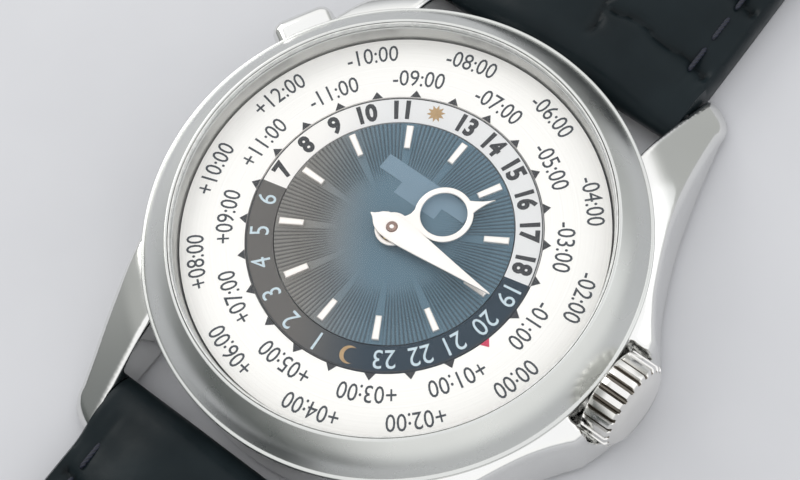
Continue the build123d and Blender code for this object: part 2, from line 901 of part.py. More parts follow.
with BuildPart() as train_bridge:
    bridge_sheet(train_screws, train_jewels)
    beyond_split(-1)
finish(train_bridge, "train_bridge")

with BuildPart() as balance_cock:
    with BuildSketch(cock_plane):
        round_face(cock_nose_radius, sides=loop_sides)
        with Locations((movement_radius / 2, 0)):
            Rectangle(movement_radius, cock_width)
    extrude(amount=cock_thickness)
    with BuildSketch(cock_plane):
        with Locations((well_radius + movement_radius / 2, 0)):
            Rectangle(movement_radius, cock_width)
    extrude(amount=plate_low - seat_gap - bridge_low)
    with BuildSketch(cock_plane.offset(cock_thickness)):
        with Locations((hairspring_start + hairspring_pitch * hairspring_turns, 0)):
            round_face(hairspring_pitch)
    extrude(amount=hairspring_level + hairspring_height - bridge_low - cock_thickness)
    disc((0, 0), bridge_low, plate_low, bridge_radius, mode=Mode.INTERSECT, sides=hidden_sides)
    screw_holes([cock_screw_at])
    disc(balance_at, bridge_low - overrun, plate_low, jewel_radius + seat_gap, mode=Mode.SUBTRACT)
finish(balance_cock, "balance_cock")

# Jewels and screws of the bridges
with BuildPart() as jewels:
    for place in train_jewels + [(0, 0)]:
        disc(place, bridge_low - jewel_proud, bridge_low + cock_thickness, jewel_radius, jewel_bore)
    disc(balance_at, bridge_low - jewel_proud, bridge_low + cock_thickness, jewel_radius, jewel_bore)
finish(jewels, "jewels")

with BuildPart() as bridge_screws:
    for place in barrel_screws + train_screws + [cock_screw_at]:
        disc(place, bridge_low + seat_gap, bridge_low + screw_head_height, screw_head_radius)
        disc(place, bridge_low + seat_gap, plate_low + screw_depth - seat_gap, screw_shank_radius)
finish(bridge_screws, "bridge_screws")

# Barrel, with the winding wheels in their recesses
centre_pinion_low = bridge_high + barrel_lift
with BuildPart() as barrel:
    disc(barrel_at, barrel_low, barrel_high, barrel_radius * barrel_drum_share, sides=loop_sides)
    barrel_first = mesh_outside(centre_pinion_teeth, 0, barrel_angle, barrel_teeth)
    rim_outline = teeth_outline(barrel_teeth, train_module_barrel, barrel_first)
    toothed(barrel_at, barrel_low + wheel_lift, wheel_thickness + wheel_lift, rim_outline)
    disc(barrel_at, barrel_low, barrel_high, post_radius + running_gap, mode=Mode.SUBTRACT)
finish(barrel, "barrel")

with BuildPart() as ratchet_wheel:
    ratchet_outline = teeth_outline(ratchet_teeth, winding_module, winding_angle)
    toothed(barrel_at, winding_low, winding_wheel_thickness, ratchet_outline)
    disc(barrel_at, winding_low, arbor_high - running_gap, post_radius)
finish(ratchet_wheel, "ratchet_wheel")

with BuildPart() as crown_wheel:
    crown_wheel_first = mesh_outside(ratchet_teeth, winding_angle, winding_angle, crown_wheel_teeth)
    crown_wheel_outline = teeth_outline(crown_wheel_teeth, winding_module, crown_wheel_first)
    core_bore = crown_wheel_core_radius + running_gap
    toothed(crown_wheel_at, winding_low, winding_wheel_thickness, crown_wheel_outline, core_bore)
finish(crown_wheel, "crown_wheel")

# Centre wheel on the arbor that carries the cannon pinion and the minute hand
with BuildPart() as centre_wheel:
    centre_outline = teeth_outline(centre_wheel_teeth, train_module_centre, 0)
    toothed((0, 0), bridge_high + wheel_lift, wheel_thickness, centre_outline)
    toothed(
        (0, 0),
        centre_pinion_low,
        barrel_lift,
        teeth_outline(centre_pinion_teeth, train_module_barrel, 0),
    )
    disc((0, 0), arbor_low, centre_pinion_low, arbor_radius)
    hand_top = minute_hand_low + minute_hand_thickness
    disc((0, 0), bridge_high + wheel_lift, hand_top, cannon_bore - seat_gap)
finish(centre_wheel, "centre_wheel")

# Third, fourth and escape wheels
third_low = plate_low - third_wheel_drop
with BuildPart() as third_wheel:
    pinion_first = mesh_outside(centre_wheel_teeth, 0, third_angle, third_pinion_teeth)
    third_outline = teeth_outline(third_wheel_teeth, tipped_module(third_wheel_radius, third_wheel_teeth), 0)
    toothed(third_at, third_low, wheel_thickness, third_outline)
    toothed(
        third_at,
        bridge_high + running_gap,
        2 * wheel_thickness,
        teeth_outline(third_pinion_teeth, train_module_centre, pinion_first),
    )
    disc(third_at, arbor_low, arbor_high - running_gap, arbor_radius)
finish(third_wheel, "third_wheel")

with BuildPart() as fourth_wheel:
    fourth_outline = teeth_outline(fourth_wheel_teeth, train_module_escape, 0)
    toothed(fourth_at, bridge_high + wheel_lift, wheel_thickness, fourth_outline)
    disc(fourth_at, third_low - wheel_lift, third_low + wheel_thickness + wheel_lift, plain_pinion_radius)
    disc(fourth_at, arbor_low, arbor_high - running_gap, arbor_radius)
finish(fourth_wheel, "fourth_wheel")

escape_corners = []
for tooth in range(escape_teeth):
    first = tooth * 360 / escape_teeth
    step = 360 / escape_teeth
    escape_corners.append(on_circle(escape_root_radius, first))
    escape_corners.append(on_circle(escape_wheel_radius, first + step * escape_lean_share))
    escape_corners.append(
        on_circle(escape_wheel_radius, first + step * (escape_lean_share + escape_land_share))
    )
    escape_corners.append(
        on_circle(escape_root_radius, first + step * (escape_lean_share + escape_land_share))
    )
with BuildPart() as escape_wheel:
    escape_first = mesh_outside(fourth_wheel_teeth, 0, escape_angle, escape_pinion_teeth)
    toothed(escape_at, fork_level, wheel_thickness, escape_corners)
    toothed(
        escape_at,
        bridge_high + running_gap,
        wheel_thickness + wheel_lift,
        teeth_outline(escape_pinion_teeth, train_module_escape, escape_first),
    )
    disc(escape_at, arbor_low, arbor_high - running_gap, arbor_radius)
finish(escape_wheel, "escape_wheel")

# Pallet fork between the escape wheel and the balance
fork_plane = Plane(
    origin=fork_at + (fork_level,),
    x_dir=on_circle(1, balance_angle) + (0,),
    z_dir=(0, 0, 1),
)
with BuildPart() as pallet_fork:
    with BuildSketch(fork_plane):
        round_face(fork_hub_radius)
        with Locations((fork_length / 2, 0)):
            Rectangle(fork_length, fork_width)
        with Locations((fork_length, 0)):
            Rectangle(fork_width, 2 * fork_width)
        with Locations((fork_length + fork_width / 2, 0)):
            Rectangle(fork_width, fork_width, mode=Mode.SUBTRACT)
        for side in (1, -1):
            Polygon(
                (0, side * fork_hub_radius),
                (-pallet_reach, side * (pallet_half + pallet_width)),
                (-pallet_reach - pallet_width, side * pallet_half),
                (-fork_hub_radius, 0),
                align=None,
            )
            with Locations((-pallet_reach, side * pallet_half)):
                Rectangle(pallet_length, pallet_width, rotation=-side * pallet_lean)
    extrude(amount=wheel_thickness)
    disc(fork_at, fork_level - wheel_lift, arbor_high - running_gap, arbor_radius)
finish(pallet_fork, "pallet_fork")

# Balance with its staff, roller and rim screws
with BuildPart() as balance:
    balance_plane = Plane(origin=balance_at + (balance_level,))
    with BuildSketch(balance_plane):
        round_face(balance_radius - balance_screw_length, sides=drum_sides)
        round_face(
            balance_radius - balance_screw_length - balance_rim_width,
            True,
            drum_sides,
            Mode.SUBTRACT,
        )
        Rectangle(2 * balance_radius - 2 * balance_screw_length - balance_rim_width, balance_arm_width)
        round_face(balance_hub_radius)
    extrude(amount=balance_rim_height)
    with BuildSketch(balance_plane.offset(balance_rim_height / 2 - balance_screw_width / 2)):
        with PolarLocations(balance_radius - balance_screw_length, balance_screws):
            Rectangle(2 * balance_screw_length, balance_screw_width)
    extrude(amount=balance_screw_width)
    disc(balance_at, roller_level, roller_level + wheel_thickness, roller_radius)
    disc(balance_at, hairspring_level, roller_level, balance_hub_radius - hairspring_width)
    disc(balance_at, arbor_low, arbor_high - running_gap, arbor_radius)
finish(balance, "balance")

with BuildPart() as hairspring:
    inner_side = []
    outer_side = []
    for step in range(hairspring_turns * spiral_sides + 1):
        angle = step * 360 / spiral_sides
        middle = hairspring_start + hairspring_pitch * angle / 360
        inner_side.append(on_circle(middle - hairspring_width / 2, angle))
        outer_side.append(on_circle(middle + hairspring_width / 2, angle))
    with BuildSketch(
        Plane(origin=balance_at + (hairspring_level,), x_dir=cock_plane.x_dir, z_dir=(0, 0, 1))
    ):
        Polygon(*outer_side, *inner_side[::-1], align=None)
    extrude(amount=hairspring_height)
finish(hairspring, "hairspring")

# Micro rotor that winds the barrel as the wrist moves
with BuildPart() as micro_rotor:
    heavy_side = math.degrees(math.atan2(rotor_y, rotor_x))
    rotor_plane = Plane(
        origin=rotor_at + (rotor_level,),
        x_dir=on_circle(1, heavy_side) + (0,),
        z_dir=(0, 0, 1),
    )
    sweep_start = on_circle(rotor_radius, -rotor_sweep / 2)
    sweep_end = on_circle(rotor_radius, rotor_sweep / 2)
    rim_bore = rotor_radius - rotor_rim_width
    with BuildSketch(rotor_plane):
        with BuildLine():
            ThreePointArc(sweep_start, (rotor_radius, 0), sweep_end)
            Line(sweep_end, on_circle(rotor_hub_radius, 90))
            Line(on_circle(rotor_hub_radius, 90), on_circle(rotor_hub_radius, -90))
            Line(on_circle(rotor_hub_radius, -90), sweep_start)
        make_face()
        round_face(rotor_hub_radius)
    extrude(amount=rotor_web_thickness)
    with BuildSketch(rotor_plane):
        with BuildLine():
            ThreePointArc(sweep_start, (rotor_radius, 0), sweep_end)
            Line(sweep_end, on_circle(rim_bore, rotor_sweep / 2))
            ThreePointArc(
                on_circle(rim_bore, rotor_sweep / 2),
                (rim_bore, 0),
                on_circle(rim_bore, -rotor_sweep / 2),
            )
            Line(on_circle(rim_bore, -rotor_sweep / 2), sweep_start)
        make_face()
    extrude(amount=rotor_rim_height)
    disc(rotor_at, rotor_level, rotor_level + rotor_hub_height, rotor_hub_radius)
    disc(
        rotor_at,
        rotor_level + rotor_cap,
        rotor_level + rotor_hub_height + overrun,
        rotor_post_radius + running_gap,
        mode=Mode.SUBTRACT,
    )
finish(micro_rotor, "micro_rotor")

# Motion work between the main plate and the dial
with BuildPart() as cannon_pinion:
    toothed((0, 0), motion_low, wheel_thickness + running_gap, teeth_outline(cannon_teeth, motion_module, 0))
    disc((0, 0), motion_low, minute_hand_low, cannon_radius)
    disc((0, 0), motion_low, minute_hand_low, cannon_bore, mode=Mode.SUBTRACT)
finish(cannon_pinion, "cannon_pinion")

minute_wheel_first = mesh_outside(cannon_teeth, 0, minute_wheel_angle, minute_wheel_teeth)
minute_pinion_low = motion_low + wheel_thickness
with BuildPart() as minute_wheel:
    toothed(
        minute_wheel_at,
        motion_low,
        wheel_thickness,
        teeth_outline(minute_wheel_teeth, motion_module, minute_wheel_first),
    )
    toothed(
        minute_wheel_at,
        minute_pinion_low,
        2 * wheel_thickness + running_gap,
        teeth_outline(minute_pinion_teeth, hour_module, minute_wheel_angle),
    )
    disc(minute_wheel_at, motion_low, ring_low, post_radius + running_gap, mode=Mode.SUBTRACT)
finish(minute_wheel, "minute_wheel")

hour_wheel_first = mesh_outside(
    minute_pinion_teeth,
    minute_wheel_angle,
    minute_wheel_angle + 180,
    hour_wheel_teeth,
)
with BuildPart() as hour_wheel:
    toothed(
        (0, 0),
        hour_wheel_low,
        wheel_thickness,
        teeth_outline(hour_wheel_teeth, hour_module, hour_wheel_first),
    )
    disc((0, 0), hour_wheel_low, hour_hand_low + hour_hand_thickness, hour_pipe_radius)
    disc((0, 0), hour_wheel_low, hour_hand_low + overrun, hour_pipe_bore, mode=Mode.SUBTRACT)
finish(hour_wheel, "hour_wheel")

day_wheel_first = mesh_outside(hour_wheel_teeth, hour_wheel_first, day_wheel_angle, day_wheel_teeth)
with BuildPart() as day_wheel:
    toothed(
        day_wheel_at,
        hour_wheel_low,
        wheel_thickness,
        teeth_outline(day_wheel_teeth, hour_module, day_wheel_first),
    )
    toothed(
        day_wheel_at,
        hour_wheel_low + wheel_thickness,
        wheel_lift + wheel_thickness,
        teeth_outline(day_pinion_teeth, ring_module, day_wheel_angle),
    )
    disc(day_wheel_at, hour_wheel_low, ring_low, post_radius + running_gap, mode=Mode.SUBTRACT)
finish(day_wheel, "day_wheel")

with BuildPart() as day_ring_guide:
    guide_top = hour_wheel_low + wheel_thickness - running_gap
    guide_bore = guide_outer_radius - guide_width
    disc((0, 0), plate_high + seat_gap, guide_top, guide_outer_radius, guide_bore, sides=hidden_sides)
finish(day_ring_guide, "day_ring_guide")

# Day and night ring, with the inner teeth that turn it once in 24 hours
day_ring_first = day_wheel_angle + 180 / day_ring_teeth
with BuildPart() as day_ring:
    disc((0, 0), ring_low, dial_top, day_ring_outer, dial_radius + turning_gap, sides=ring_sides)
    with BuildSketch(Plane.XY.offset(ring_teeth_low)):
        round_face(day_ring_outer, sides=ring_sides)
        Polygon(
            *teeth_outline(day_ring_teeth, ring_module, day_ring_first, inward=True),
            align=None,
            mode=Mode.SUBTRACT,
        )
    extrude(amount=ring_low + running_gap - ring_teeth_low)
finish(day_ring, "day_ring")

with BuildPart() as city_ring:
    disc((0, 0), ring_low + running_gap, dial_top, city_ring_outer, city_ring_inner, sides=ring_sides)
finish(city_ring, "city_ring")

with BuildPart() as dial_centre:
    disc((0, 0), ring_low, dial_top, dial_radius, pipe_clearance_radius, sides=ring_sides)
    with BuildSketch(Plane.XY.offset(plate_high + seat_gap)):
        with PolarLocations(dial_foot_circle, dial_feet, start_angle=dial_foot_angle):
            round_face(dial_foot_radius)
    extrude(amount=motion_height)
finish(dial_centre, "dial_centre")

# Raised markers, one each 30 degrees
with BuildPart() as hour_markers:
    with BuildSketch(Plane.XY.offset(dial_top)):
        with PolarLocations(0, marker_count):
            Polygon(
                (marker_inner, -marker_inner_width / 2),
                (marker_outer, -marker_outer_width / 2),
                (marker_outer, marker_outer_width / 2),
                (marker_inner, marker_inner_width / 2),
                align=None,
            )
    extrude(amount=marker_height)
finish(hour_markers, "hour_markers")


# Hands, drawn along +X and turned to the shown time
def hand_plane(clock_degrees, height):
    """A plane whose X axis points along a hand."""
    return Plane(origin=(0, 0, height), x_dir=on_circle(1, 90 - clock_degrees) + (0,), z_dir=(0, 0, 1))


with BuildPart() as hour_hand:
    with BuildSketch(hand_plane(hour_angle, hour_hand_low)):
        round_face(hour_boss_radius, sides=drum_sides)
        with Locations((hour_ring_centre / 2, 0)):
            Rectangle(hour_ring_centre, hour_neck_width)
        with Locations((hour_ring_centre, 0)):
            round_face(hour_ring_radius, sides=hidden_sides)
        Polygon(
            (hour_ring_centre + hour_ring_bore, -hour_tip_width / 2),
            (hour_tip, 0),
            (hour_ring_centre + hour_ring_bore, hour_tip_width / 2),
            align=None,
        )
        with Locations((hour_ring_centre, 0)):
            round_face(hour_ring_bore, True, hidden_sides, Mode.SUBTRACT)
        round_face(hour_pipe_radius + seat_gap, True, mode=Mode.SUBTRACT)
    extrude(amount=hour_hand_thickness)
finish(hour_hand, "hour_hand")

with BuildPart() as minute_hand:
    with BuildSketch(hand_plane(minute_angle, minute_hand_low)):
        Circle(minute_boss_radius)
        with BuildLine():
            Line((-minute_tail, -minute_tip_width), (-minute_tail, minute_tip_width))
            ThreePointArc(
                (-minute_tail, minute_tip_width),
                (-minute_boss_radius / 2, minute_half_width),
                (minute_boss_radius, minute_half_width * minute_leaf_share),
            )
            Line(
                (minute_boss_radius, minute_half_width * minute_leaf_share),
                (minute_tip, minute_tip_width / 2),
            )
            Line((minute_tip, minute_tip_width / 2), (minute_tip, -minute_tip_width / 2))
            Line(
                (minute_tip, -minute_tip_width / 2),
                (minute_boss_radius, -minute_half_width * minute_leaf_share),
            )
            ThreePointArc(
                (minute_boss_radius, -minute_half_width * minute_leaf_share),
                (-minute_boss_radius / 2, -minute_half_width),
                (-minute_tail, -minute_tip_width),
            )
        make_face()
        round_face(cannon_bore, True, mode=Mode.SUBTRACT)
    extrude(amount=minute_hand_thickness)
finish(minute_hand, "minute_hand")

with BuildPart() as hand_cap:
    disc((0, 0), hand_top + seat_gap, hand_top + seat_gap + cap_rise, cap_radius)
finish(hand_cap, "hand_cap")

# Spring bars, held in the blind holes of the lugs
for end, name in ((1, "spring_bar_12"), (-1, "spring_bar_6")):
    with BuildPart() as spring_bar:
        for half_length, radius in (
            (lug_gap / 2 - bar_shoulder, bar_radius),
            (lug_gap / 2 + bar_bore_depth - running_gap, bar_pivot_radius),
        ):
            rod(Plane.YZ.offset(-half_length), (end * bar_reach, bar_height), 2 * half_length, radius)
    finish(spring_bar, name)


# Strap halves, from the loop at the spring bar outwards
def strap_width_at(share):
    """The width of a half at a share of its length."""
    return strap_width - (strap_width - strap_tail_width) * share


def strap_section(end, length, share, pad_share, lift):
    """Draw one padded section across a half."""
    half = strap_width_at(share) / 2
    edge = lift + tail_edge_height + (pad_edge_height - tail_edge_height) * pad_share
    crown_top = lift + tail_height + (pad_height - tail_height) * pad_share
    with BuildSketch(Plane.XZ.offset(-end * (bar_reach + length * share))) as section:
        Polygon(
            (half, lift),
            (half, edge),
            (half * crown_flat_share, crown_top),
            (-half * crown_flat_share, crown_top),
            (-half, edge),
            (-half, lift),
            align=None,
        )
    return section.sketch


def strap_half(end, length, stations, pads, lifts):
    """Add a half's padded body and the loop round its spring bar."""
    sections = [
        strap_section(end, length, share, pad_share, lift_share * keeper_lift)
        for share, pad_share, lift_share in zip(stations, pads, lifts)
    ]
    loft(sections, ruled=True)
    with BuildSketch(Plane.YZ.offset(-strap_width / 2)) as loop:
        with Locations((end * bar_reach, bar_height)):
            round_face(loop_radius, sides=loop_sides)
    extrude(loop.sketch, amount=strap_width)


def bar_hole(reach, height, radius):
    """Cut the hole of a cross bar."""
    rod(Plane.YZ.offset(-lug_gap), (reach, height), 2 * lug_gap, radius, mode=Mode.SUBTRACT)


buckle_reach = bar_reach + short_length
buckle_height = buckle_loop_radius
with BuildPart() as strap_12:
    strap_half(1, short_length, short_stations_share, short_pad_share, short_lift_share)
    with BuildSketch(Plane.YZ.offset(-strap_tail_width / 2)):
        with Locations((buckle_reach, buckle_height)):
            round_face(buckle_loop_radius, sides=loop_sides)
    extrude(amount=strap_tail_width)
    bar_hole(bar_reach, bar_height, bar_radius + loop_bore_gap)
    bar_hole(buckle_reach, buckle_height, buckle_bar_radius + loop_bore_gap)
    with BuildSketch(Plane.XY):
        with Locations((0, buckle_reach)):
            Rectangle(tongue_width + 2 * tongue_slot_gap, 2 * tongue_slot_reach)
    extrude(amount=pad_height + overrun, mode=Mode.SUBTRACT)
finish(strap_12, "strap_12")

tip_y = bar_reach + long_length
with BuildPart() as strap_6:
    strap_half(-1, long_length, long_stations_share, long_pad_share, [0.0] * len(long_stations_share))
    bar_hole(-bar_reach, bar_height, bar_radius + loop_bore_gap)
    with BuildSketch(Plane.XY.offset(-overrun)):
        with Locations((0, -tip_y)):
            Rectangle(strap_width, 2 * tip_length)
        with BuildLine():
            Line(
                (strap_tail_width / 2 - slide_gap, -tip_y + tip_length),
                (-strap_tail_width / 2 + slide_gap, -tip_y + tip_length),
            )
            ThreePointArc(
                (-strap_tail_width / 2 + slide_gap, -tip_y + tip_length),
                (-strap_tail_width * tip_round_share / 2, -tip_y + tip_length * (1 - tip_round_share)),
                (0, -tip_y),
            )
            ThreePointArc(
                (0, -tip_y),
                (strap_tail_width * tip_round_share / 2, -tip_y + tip_length * (1 - tip_round_share)),
                (strap_tail_width / 2 - slide_gap, -tip_y + tip_length),
            )
        make_face(mode=Mode.SUBTRACT)
    extrude(amount=pad_height + 2 * overrun, mode=Mode.SUBTRACT)
    with BuildSketch(Plane.XY.offset(-overrun)):
        for hole in range(hole_count):
            with Locations((0, -tip_y + last_hole_from_tip + hole * hole_spacing)):
                round_face(hole_radius, True)
    extrude(amount=pad_height + 2 * overrun, mode=Mode.SUBTRACT)
finish(strap_6, "strap_6")


# Keepers, leather loops that stand round the short half
def keeper(from_bar, side_gap, travel):
    """Draw one keeper as a closed band."""
    reach = buckle_reach - from_bar
    widest = strap_width_at((reach - travel - keeper_width / 2 - bar_reach) / short_length) / 2 + side_gap
    inside_low = keeper_lift - keeper_gap
    inside_high = keeper_lift + tail_height + keeper_spare_height
    with BuildSketch(Plane.XZ.offset(-reach - keeper_width / 2)) as band:
        with Locations((0, (inside_low + inside_high) / 2)):
            Rectangle(2 * widest + 2 * keeper_wall, inside_high - inside_low + 2 * keeper_wall)
            chamfer(band.vertices(), keeper_wall)
            Rectangle(2 * widest, inside_high - inside_low, mode=Mode.SUBTRACT)
    extrude(band.sketch, amount=keeper_width)


with BuildPart() as fixed_keeper:
    keeper(fixed_keeper_from_bar, slide_gap, 0)
finish(fixed_keeper, "fixed_keeper")

with BuildPart() as loose_keeper:
    keeper(loose_keeper_from_bar, keeper_gap, loose_keeper_travel)
finish(loose_keeper, "loose_keeper")

# Pin buckle: bar, frame and tongue
window_half = strap_tail_width / 2 + buckle_side_gap
frame_half = window_half + buckle_wire
with BuildPart() as buckle_bar:
    bar_half = window_half + buckle_wire / 2
    rod(Plane.YZ.offset(-bar_half), (buckle_reach, buckle_height), 2 * bar_half, buckle_bar_radius)
finish(buckle_bar, "buckle_bar")

with BuildPart() as buckle_frame:
    frame_low = buckle_height - buckle_thickness / 2
    frame_end = buckle_reach + buckle_window_length + buckle_wire
    with BuildSketch(Plane.XY.offset(frame_low)):
        with Locations((0, (buckle_reach + frame_end) / 2 - buckle_thickness / 4)):
            RectangleRounded(2 * frame_half, frame_end - buckle_reach + buckle_thickness / 2, buckle_corner)
        with Locations((0, buckle_reach - buckle_thickness / 4 + buckle_window_length / 2)):
            Rectangle(
                2 * window_half,
                buckle_window_length + buckle_thickness / 2 + overrun,
                mode=Mode.SUBTRACT,
            )
    extrude(amount=buckle_thickness)
    eye_plane = Plane.YZ.offset(-bar_half - seat_gap)
    eye_radius = buckle_bar_radius + seat_gap
    rod(eye_plane, (buckle_reach, buckle_height), 2 * (bar_half + seat_gap), eye_radius, mode=Mode.SUBTRACT)
finish(buckle_frame, "buckle_frame")

with BuildPart() as buckle_tongue:
    frame_top = buckle_height + buckle_thickness / 2
    rest = frame_top + running_gap
    bend = frame_end - buckle_wire - tongue_thickness / 2
    with BuildSketch(Plane.YZ.offset(-tongue_width / 2)):
        with Locations((buckle_reach, buckle_height)):
            round_face(buckle_bar_radius + running_gap + tongue_thickness / 2)
        Polygon(
            (buckle_reach, buckle_height - tongue_thickness / 2),
            (bend, rest),
            (frame_end, rest),
            (frame_end + tongue_thickness / 2, rest + tongue_thickness / 2),
            (frame_end, rest + tongue_thickness),
            (bend, rest + tongue_thickness),
            (buckle_reach, buckle_height + tongue_thickness / 2),
            align=None,
        )
        with Locations((buckle_reach, buckle_height)):
            round_face(buckle_bar_radius + running_gap, True, mode=Mode.SUBTRACT)
    extrude(amount=tongue_width)
finish(buckle_tongue, "buckle_tongue")
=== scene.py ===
"""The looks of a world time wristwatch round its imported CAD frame.

Sizes are in millimetres unless a comment says otherwise, noise scales in repeats a metre.
Clock angles run clockwise from 12 o'clock, which is +Y. 3 o'clock is +X and the dial faces +Z.
"""

import collections
import math

import bmesh
import bpy
import numpy as np
from mathutils import Matrix, Vector


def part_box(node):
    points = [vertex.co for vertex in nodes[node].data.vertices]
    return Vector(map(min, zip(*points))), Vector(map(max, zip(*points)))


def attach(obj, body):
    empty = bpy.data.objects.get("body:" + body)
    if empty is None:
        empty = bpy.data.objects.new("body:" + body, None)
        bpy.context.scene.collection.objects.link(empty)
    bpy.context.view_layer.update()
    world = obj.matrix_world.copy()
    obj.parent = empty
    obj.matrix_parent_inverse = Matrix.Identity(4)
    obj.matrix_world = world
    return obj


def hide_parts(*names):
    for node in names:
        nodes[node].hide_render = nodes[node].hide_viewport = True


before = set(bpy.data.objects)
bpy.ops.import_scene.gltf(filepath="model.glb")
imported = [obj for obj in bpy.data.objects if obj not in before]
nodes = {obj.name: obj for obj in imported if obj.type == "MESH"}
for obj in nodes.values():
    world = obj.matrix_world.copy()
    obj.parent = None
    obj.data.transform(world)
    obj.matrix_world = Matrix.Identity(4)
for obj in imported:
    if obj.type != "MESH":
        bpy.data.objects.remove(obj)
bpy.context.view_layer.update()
scene = bpy.context.scene

MM = 0.001
TURN = 2 * math.pi

# Heights and radii that the frame's parts share
DIAL_TOP = 7.4
RING_LOW = 6.95
DIAL_RADIUS = 9.22
PIPE_CLEARANCE = 1.2
DAY_INNER = 9.3
DAY_OUTER = 11.42
OFFSET_INNER = 11.5
OFFSET_OUTER = 16.57
RING_LIFT = 0.05
RING_EASE = 0.03
FLUTE_DEPTH = 0.07
ROTOR_CENTRE = (5.4, -7.1)
STEM_HEIGHT = 4.9

# Print on the rings: from just under the surface to just over it
PRINT_LOW = DIAL_TOP - 0.004
PRINT_HIGH = DIAL_TOP + 0.018


def put(owner, **values):
    """Set properties of something, and return it."""
    for key, value in values.items():
        setattr(owner, key, value)
    return owner


def linked(name, data):
    """A new object of the scene that holds the data."""
    item = bpy.data.objects.new(name, data)
    scene.collection.objects.link(item)
    return item


def evaluated_mesh(item):
    """A new mesh of an object as its modifiers and its curve make it."""
    bpy.context.view_layer.update()
    evaluated = item.evaluated_get(bpy.context.evaluated_depsgraph_get())
    return bpy.data.meshes.new_from_object(evaluated)


# Node trees
class Nodes:
    """A short way to write the node tree of a material or a world."""

    def __init__(self, owner, output="ShaderNodeOutputMaterial", place="Object"):
        self.owner = owner
        owner.use_nodes = True
        self.tree = owner.node_tree
        self.tree.nodes.clear()
        self.output = self.add(output)
        self.place = self.add("ShaderNodeTexCoord").outputs[place]

    def feed(self, target, value):
        """Link a socket to an input, or set a constant there; a colour may lack its alpha."""
        if isinstance(value, bpy.types.NodeSocket):
            self.tree.links.new(value, target)
        else:
            target.default_value = (*value, 1) if target.type == "RGBA" else value

    def add(self, kind, **values):
        """Add a node with its properties and its inputs, whose spaces are underscores here."""
        node = self.tree.nodes.new(kind)
        for key, value in values.items():
            if hasattr(node, key):
                setattr(node, key, value)
            else:
                self.feed(node.inputs[key.replace("_", " ")], value)
        return node

    def end(self, shader, socket):
        """Lead a shader to the output, and return what the tree belongs to."""
        self.feed(self.output.inputs["Surface"], shader.outputs[socket])
        return self.owner

    def ramp(self, source, stops):
        """A colour ramp of (position, colour or grey) stops."""
        node = self.add("ShaderNodeValToRGB", Fac=source)
        elements = node.color_ramp.elements
        while len(elements) < len(stops):
            elements.new(0.5)
        for element, (position, colour) in zip(elements, stops):
            element.position = position
            element.color = (*colour, 1) if isinstance(colour, tuple) else (colour, colour, colour, 1)
        return node.outputs["Color"]

    def between(self, source, low, high):
        """Colours or greys from low to high over the middle of a texture's range."""
        return self.ramp(source, [(0.3, low), (0.7, high)])

    def vector(self, operation, first, second=(0, 0, 0)):
        node = self.add("ShaderNodeVectorMath", operation=operation)
        self.feed(node.inputs[0], first)
        self.feed(node.inputs[1], second)
        return node.outputs["Value" if operation in ("LENGTH", "DOT_PRODUCT") else "Vector"]

    def share(self, value, start, stop, easing="LINEAR", **to):
        """How far a value has come from start to stop."""
        span = {"Value": value, "From_Min": start, "From_Max": stop}
        return self.add("ShaderNodeMapRange", interpolation_type=easing, **span, **to).outputs["Result"]

    def mix(self, factor, first, second, blend="MIX"):
        kind = {"data_type": "RGBA", "blend_type": blend}
        return self.add("ShaderNodeMix", **kind, Factor=factor, A=first, B=second).outputs["Result"]

    def noise(self, scale, detail=2.0, stretch=(1, 1, 1)):
        place = self.add("ShaderNodeMapping", Scale=stretch, Vector=self.place).outputs["Vector"]
        return self.add("ShaderNodeTexNoise", Scale=scale, Detail=detail, Vector=place).outputs["Fac"]

    def circles(self, scale, centre=(0, 0)):
        """Fine noise in circles round an upright axis."""
        offset = self.vector("SUBTRACT", self.place, (centre[0] * MM, centre[1] * MM, 0))
        radius = self.vector("LENGTH", self.vector("MULTIPLY", offset, (1, 1, 0)))
        node = self.add("ShaderNodeTexNoise", noise_dimensions="1D", Scale=scale, Detail=3, W=radius)
        return node.outputs["Fac"]

    def waves(self, scale, degrees, **more):
        """Straight bands, turned about Z."""
        turned = self.add("ShaderNodeMapping", Rotation=(0, 0, math.radians(degrees)), Vector=self.place)
        place = turned.outputs["Vector"]
        return self.add("ShaderNodeTexWave", Scale=scale, Vector=place, **more).outputs["Fac"]

    def cells(self, scale):
        """The distance from the middles of small cells."""
        return self.add("ShaderNodeTexVoronoi", Scale=scale, Vector=self.place).outputs["Distance"]

    def bump(self, height, distance, strength, **before):
        node = self.add("ShaderNodeBump", Distance=distance, Strength=strength, Height=height, **before)
        return node.outputs["Normal"]

    def surface(self, metallic, roughness, colour, **more):
        """End the tree in a Principled shader, with linked or constant inputs."""
        plain = {"Metallic": metallic, "Roughness": roughness, "Base_Color": colour}
        return self.end(self.add("ShaderNodeBsdfPrincipled", **plain, **more), "BSDF")


def material(name):
    return Nodes(bpy.data.materials.new(name))


# Materials; the heights of their bumps are in metres
GLASS_INDEX = 1.33


def polished_steel(name, low, high, rough_low, rough_high, metallic=1.0):
    """Bright steel with faint smears and hairline scratches."""
    t = material(name)
    rough = t.between(t.noise(260, 4), rough_low, rough_high)
    hairline = t.bump(t.noise(900, 3, (1, 14, 1)), 0.0000004, 0.3)
    return t.surface(metallic, rough, t.between(t.noise(90), low, high), Normal=hairline)


def circular_brushed(name, low, high, rough_low, rough_high, depth=0.000003, centre=(0, 0)):
    """Metal brushed in circles round an upright axis."""
    t = material(name)
    lines = t.circles(9000, centre)
    rough = t.between(lines, rough_low, rough_high)
    return t.surface(1.0, rough, t.between(lines, low, high), Normal=t.bump(lines, depth, 0.6))


